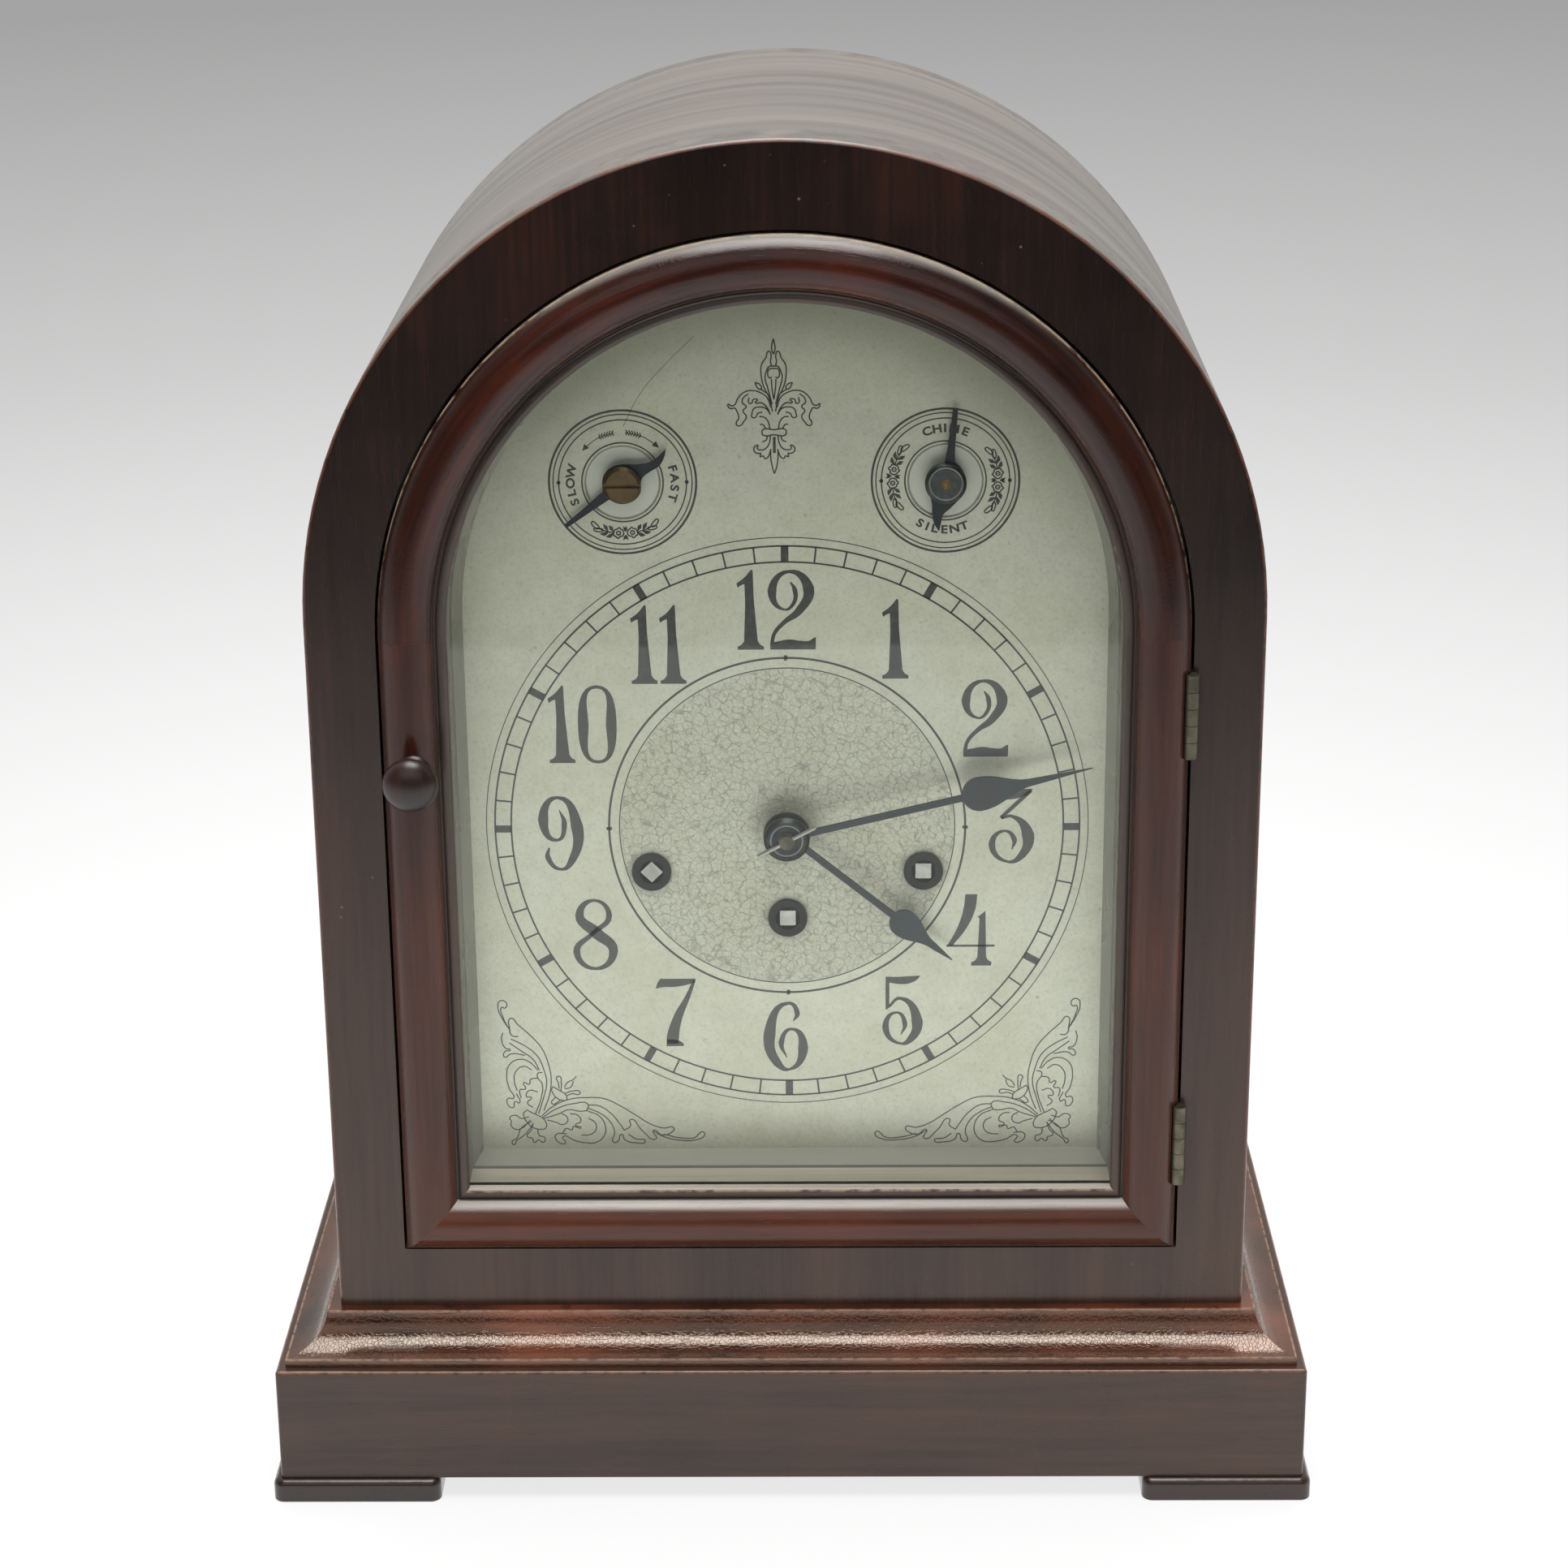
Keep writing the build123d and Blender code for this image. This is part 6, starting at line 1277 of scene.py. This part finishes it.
@dataclass
class DialPrint:
    """Everything that is engraved and waxed on the dial."""

    track_outer: float = 81.4
    track_inner: float = 76.9
    faint_ring: float = 83.8
    chapter_ring: float = 49.6
    middle_ring: float = 46.7
    numerals: tuple[tuple[str, Point, float], ...] = (
        ("12", (-2.3, 253.7), 22.6), ("1", (30.1, 245.2), 22.6), ("2", (54.7, 222.3), 22.4),
        ("3", (62.5, 190.6), 22.0), ("4", (51.4, 159.5), 21.6), ("5", (32.3, 135.1), 21.2),
        ("6", (-0.9, 127.2), 21.4), ("7", (-32.0, 134.6), 20.8), ("8", (-54.4, 158.5), 21.6),
        ("9", (-63.1, 189.0), 22.2), ("10", (-56.1, 221.0), 22.4), ("11", (-34.8, 243.9), 22.4),
    )
    digit_gap: float = 0.8
    hour_bar: float = 2.1
    minute_bar: float = 0.5
    quarter_bar: Point = (0.9, 1.5)
    subdial_rings: tuple[Point, ...] = ((19.85, 0.6), (18.75, 0.34), (17.25, 0.36), (10.95, 0.42))
    dot_radius: float = 17.3
    garland_radius: float = 14.2
    garland_weight: float = 1.35
    arrow_radius: float = 13.8
    lily_foot: Point = (-2.5, 292.0)
    lily_grid: float = 36.0
    lily_pen: float = 6.8
    corner_foot: Point = (-82.6, 93.5)
    corner_grid: Point = (22.8, 20.5)
    corner_pen: float = 3.9

    def track(self) -> None:
        """Draws the minute track and the rings about the hands."""
        drawing = FlatDrawing("minute_track")
        drawing.ring(HAND_CENTRE, self.track_outer, 0.5, 240)
        drawing.ring(HAND_CENTRE, self.track_inner, 0.5, 240)
        drawing.ring(HAND_CENTRE, self.faint_ring, 0.26, 240)
        drawing.ring(HAND_CENTRE, self.chapter_ring, 0.62, 180)
        drawing.ring(HAND_CENTRE, self.middle_ring, 0.3, 180)
        centre = Matrix.Translation((*HAND_CENTRE, 0.0))
        middle = (self.track_outer + self.track_inner) / 2
        for minute in range(60):
            turn = Matrix.Rotation(math.radians(6.0 * minute), 4, "Z")
            place = centre @ turn @ Matrix.Translation((0.0, middle, 0.0))
            width = self.minute_bar if minute % 5 else self.hour_bar
            drawing.bar(place, width, self.track_outer - self.track_inner)
        for quarter in range(4):
            turn = Matrix.Rotation(math.radians(90.0 * quarter), 4, "Z")
            place = centre @ turn @ Matrix.Translation((0.0, self.chapter_ring, 0.0))
            drawing.bar(place, *self.quarter_bar)
        drawing.finish()

    def hours(self) -> None:
        """Draws the twelve upright hour numerals."""
        drawing = FlatDrawing("hour_numerals")
        for text, centre, height in self.numerals:
            size = height / DIGIT_HEIGHT
            widths = [DIGIT_WIDTHS[letter] for letter in text]
            start = -(sum(widths) + self.digit_gap * (len(text) - 1)) / 2
            for letter, width in zip(text, widths):
                middle = Matrix.Translation((start + width / 2, 0.0, 0.0))
                place = Matrix.Translation((*centre, 0.0)) @ Matrix.Scale(size, 4) @ middle
                drawing.add(DIGITS[letter], place)
                start += width + self.digit_gap
        drawing.finish()

    def ornaments(self) -> None:
        """Draws the lily in the arch and the scrolls in the lower corners."""
        drawing = FlatDrawing("dial_ornaments")
        foot = Matrix.Translation((*self.lily_foot, 0.0))
        across, upwards = self.corner_grid
        for side in (1.0, -1.0):
            place = foot @ Matrix.Diagonal((side / self.lily_grid, 1 / self.lily_grid, 1.0, 1.0))
            drawing.add((PenStroke.even(self.lily_pen, *points) for points in LILY_HALF), place)
            corner = Matrix.Translation((side * self.corner_foot[0], self.corner_foot[1], 0.0))
            place = corner @ Matrix.Diagonal((side / across, 1 / upwards, 1.0, 1.0))
            drawing.add((PenStroke.even(self.corner_pen, *points) for points in SCROLL), place)
        drawing.finish()

    def garland(self, drawing: FlatDrawing, centre: Point, angle: float) -> None:
        """Draws a garland of two roses and leaves about a sub-dial's centre.

        Args:
            drawing: The drawing it belongs to.
            centre: The sub-dial's centre.
            angle: Where its middle lies, in degrees clockwise from twelve.
        """
        place = Matrix.Translation((*centre, 0.0))
        for side in (-1.0, 1.0):
            half = (line.mirrored(side, self.garland_weight) for line in GARLAND_HALF)
            drawing.add((line.bent(self.garland_radius, angle) for line in half), place)

    def subdials(self) -> None:
        """Draws the rings, words, arrows and garlands of the two sub-dials."""
        drawing = FlatDrawing("subdial_prints")
        for centre in (REGULATOR_CENTRE, CHIME_CENTRE):
            for radius, width in self.subdial_rings:
                drawing.ring(centre, radius, width, 120)
            for side in (-1.0, 1.0):
                drawing.ring((centre[0] + side * self.dot_radius, centre[1]), 0.28, 0.55, 16)
        drawing.word("SLOW", REGULATOR_CENTRE, 14.1, 266.0)
        drawing.word("FAST", REGULATOR_CENTRE, 14.1, 91.0)
        drawing.word("CHIME", CHIME_CENTRE, 14.5, 0.5)
        drawing.word("SILENT", CHIME_CENTRE, 13.6, 184.0, True)
        self.garland(drawing, REGULATOR_CENTRE, 178.0)
        self.garland(drawing, CHIME_CENTRE, -85.0)
        self.garland(drawing, CHIME_CENTRE, 90.0)
        place = Matrix.Translation((*REGULATOR_CENTRE, 0.0))
        for side, angle in ((-1.0, -8.0), (1.0, 4.0)):
            drawing.add((line.mirrored(side).bent(self.arrow_radius, angle) for line in ARROW), place)
        drawing.finish()

    def marks(self) -> None:
        """Draws a long hair scratch on the upper left of the dial."""
        drawing = FlatDrawing("dial_scratch")
        scratch = PenStroke.even(0.07, (-23.7, 329.6), (-31.0, 322.5), (-38.3, 314.1), (-43.0, 305.2))
        drawing.add((scratch,), Matrix.Identity(4))
        drawing.finish()

    def build(self) -> None:
        """Draws all that is printed on the dial."""
        self.track()
        self.hours()
        self.ornaments()
        self.subdials()
        self.marks()


@dataclass
class IndexPointers:
    """The two sub-dials' blued pointers, cut from thin sheet with leaf-shaped tails."""

    front: float = CASE_FRONT + 18.6
    thickness: float = 0.6
    rounding: float = 0.08
    regulator: CutShape = CutShape(
        (
            (-15.9, -11.2), (-9.0, -5.3), (-5.3, -2.0), (-5.0, 2.2), (-2.4, 4.9), (1.0, 5.6), (4.6, 5.5),
            (8.5, 6.6), (10.6, 8.4), (11.9, 9.8), (11.5, 7.6), (9.9, 4.9), (7.6, 3.5), (5.4, 1.6),
            (4.6, -2.9),
            (0.6, -5.4), (-3.6, -4.2), (-7.7, -6.9), (-15.2, -12.0),
        ),
        (1, 3, 4, 5, 6, 7, 8, 10, 11, 12, 13, 14, 15),
    )
    chime: CutShape = CutShape(
        (
            (1.9, 20.4), (0.4, 9.3), (-0.3, 5.6), (-4.1, 3.8), (-5.4, 0.0), (-4.2, -3.6), (-3.7, -6.0),
            (-3.6, -8.6), (-3.1, -11.2), (-1.7, -13.6), (-1.2, -11.2), (-0.6, -8.9), (1.4, -7.0),
            (4.2, -3.7),
            (5.4, 0.0), (4.4, 3.6), (2.5, 5.6), (2.4, 9.0), (3.2, 20.4),
        ),
        (3, 4, 5, 6, 7, 8, 10, 11, 12, 13, 14, 15),
    )

    def cut(self, name: str, outline: CutShape, centre: Point, body: str, node: str) -> None:
        """Cuts one pointer from sheet.

        Args:
            name: The piece's name.
            outline: Its face about its centre.
            centre: The centre on the dial.
            body: The body it rides on.
            node: The CAD node whose place it takes.
        """
        curve = bpy.data.curves.new(name, "CURVE")
        curve.dimensions = "2D"
        curve.fill_mode = "BOTH"
        curve.bevel_depth = self.rounding
        curve.offset = -self.rounding
        curve.extrude = self.thickness / 2 - self.rounding
        outline.add_to(curve, Matrix.Translation((*centre, 0.0)))
        form = bmesh.new()
        take_curve(form, curve)
        raise_up = Matrix.Rotation(math.radians(90.0), 4, "X")
        lay = Matrix.Translation((0.0, self.front + self.thickness / 2, 0.0)) @ raise_up
        bmesh.ops.transform(form, matrix=Matrix.Scale(MM, 4) @ lay, verts=form.verts)
        bmesh.ops.remove_doubles(form, verts=form.verts, dist=1e-6)
        bmesh.ops.recalc_face_normals(form, faces=form.faces)
        piece = make_piece(name, form, BLUED, body)
        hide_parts(node)

    def build(self) -> None:
        """Cuts both pointers."""
        self.cut("regulator_pointer", self.regulator, REGULATOR_CENTRE, "regulator", "regulator_hand")
        self.cut("chime_pointer", self.chime, CHIME_CENTRE, "chime_switch", "chime_hand")


@dataclass
class Stage:
    """Floor, lights, world and camera of the studio."""

    floor_size: float = 40.0
    card_edge: float = -0.874
    camera_place: tuple[float, float, float] = (0.012583, -0.993727, 0.533273)
    pitch: float = 0.3404
    yaw: float = -0.0143
    roll: float = -0.0093
    focal_pixels: float = 4388.49
    sensor: float = 36.0

    def sheet(self, name: str, finish: Finish, low: Point, high: Point, height: float) -> bpy.types.Object:
        """Lays a flat sheet on the floor.

        Args:
            name: The sheet's name.
            finish: What it is made of.
            low: Its corner with the lowest x and y.
            high: Its corner with the highest x and y.
            height: Its height above the ground.

        Returns:
            The sheet.
        """
        form = bmesh.new()
        middle = Vector(((low[0] + high[0]) / 2, (low[1] + high[1]) / 2, height))
        size = Matrix.Diagonal((high[0] - low[0], high[1] - low[1], 1.0, 1.0))
        place = Matrix.Translation(middle) @ size
        bmesh.ops.create_grid(form, x_segments=1, y_segments=1, size=0.5, matrix=place)
        sheet = make_object(name, form, finish)
        return sheet

    def ground(self) -> None:
        """Lays the floor, and a dark grey card in front that shows only as a reflection."""
        half = self.floor_size / 2
        self.sheet("floor", FLOOR, (-half, -half), (half, half), 0.0)
        card = self.sheet("dark_card", CARD, (-half, -half), (half, self.card_edge), 0.002)
        card.visible_camera = False
        card.visible_shadow = False

    def lamp(
        self, name: str, spot: Sequence[float], aim: Sequence[float], size: Point, power: float
    ) -> None:
        """Hangs a softbox.

        Args:
            name: The lamp's name.
            spot: Where it hangs.
            aim: The point it faces.
            size: Its width and height.
            power: Its power in watts.
        """
        light = bpy.data.lights.new(name, "AREA")
        light.shape = "RECTANGLE"
        light.size, light.size_y = size
        light.energy = power
        holder = bpy.data.objects.new(name, light)
        holder.location = spot
        holder.rotation_euler = (Vector(aim) - Vector(spot)).to_track_quat("-Z", "Y").to_euler()
        bpy.context.scene.collection.objects.link(holder)

    def lights(self) -> None:
        """Hangs a long softbox overhead, and a broad dim panel in front."""
        self.lamp("long_softbox", (0.0, 0.13, 1.5), (0.0, 0.131, 0.0), (0.75, 1.8), 42.0)
        self.lamp("front_panel", (0.0, -2.4, 1.7), (0.0, 0.0, 0.2), (3.0, 1.6), 13.0)

    def world(self) -> None:
        """Fills the room: bright behind the clock, dim in front, grey to the camera."""
        world = bpy.data.worlds.new("studio")
        bpy.context.scene.world = world
        recipe = Recipe(world)
        way = recipe.node("TexCoord", output="Generated")
        _, behind, _ = recipe.parts(way)
        back = recipe.ramp(
            behind.rise(-0.5, 0.15), ((0.0, (0.085, 0.08, 0.075)), (1.0, (0.68, 0.67, 0.65)))
        )
        seen = recipe.node("LightPath", output="Is Camera Ray")
        tint = recipe.blend(seen, back, (0.42, 0.42, 0.42))
        glow = recipe.node("Background", None, {"Color": tint, "Strength": 1.0})
        recipe.node("OutputWorld", inputs={"Surface": glow})

    def camera(self) -> None:
        """Sets the camera where the photograph was taken from."""
        lens = bpy.data.cameras.new("camera")
        lens.sensor_width = self.sensor
        lens.lens = self.focal_pixels / IMAGE_SIDE * self.sensor
        lens.clip_start = 0.01
        lens.clip_end = 100.0
        rise, turn = math.sin(self.pitch), math.cos(self.pitch)
        ahead = Vector((turn * math.sin(self.yaw), turn * math.cos(self.yaw), -rise))
        right = Vector((math.cos(self.yaw), -math.sin(self.yaw), 0.0))
        over = Vector((rise * math.sin(self.yaw), rise * math.cos(self.yaw), turn))
        tilt = (math.cos(self.roll), math.sin(self.roll))
        side = tilt[0] * right + tilt[1] * over
        top = -tilt[1] * right + tilt[0] * over
        pose = Matrix((side, top, -ahead)).transposed().to_4x4()
        pose.translation = self.camera_place
        holder = bpy.data.objects.new("camera", lens)
        holder.matrix_world = pose
        bpy.context.scene.collection.objects.link(holder)
        bpy.context.scene.camera = holder

    def build(self) -> None:
        """Builds the studio."""
        self.camera()
        self.ground()
        self.lights()
        self.world()
        bpy.context.scene.view_settings.view_transform = "Standard"


def main() -> None:
    """Loads the frame, dresses it and builds the pieces and the studio."""
    logging.basicConfig(level=logging.INFO, format="%(message)s")
    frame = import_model()
    Stage().build()
    dress_nodes(frame["nodes"])
    DialPrint().build()
    IndexPointers().build()


if __name__ == "__main__":
    main()
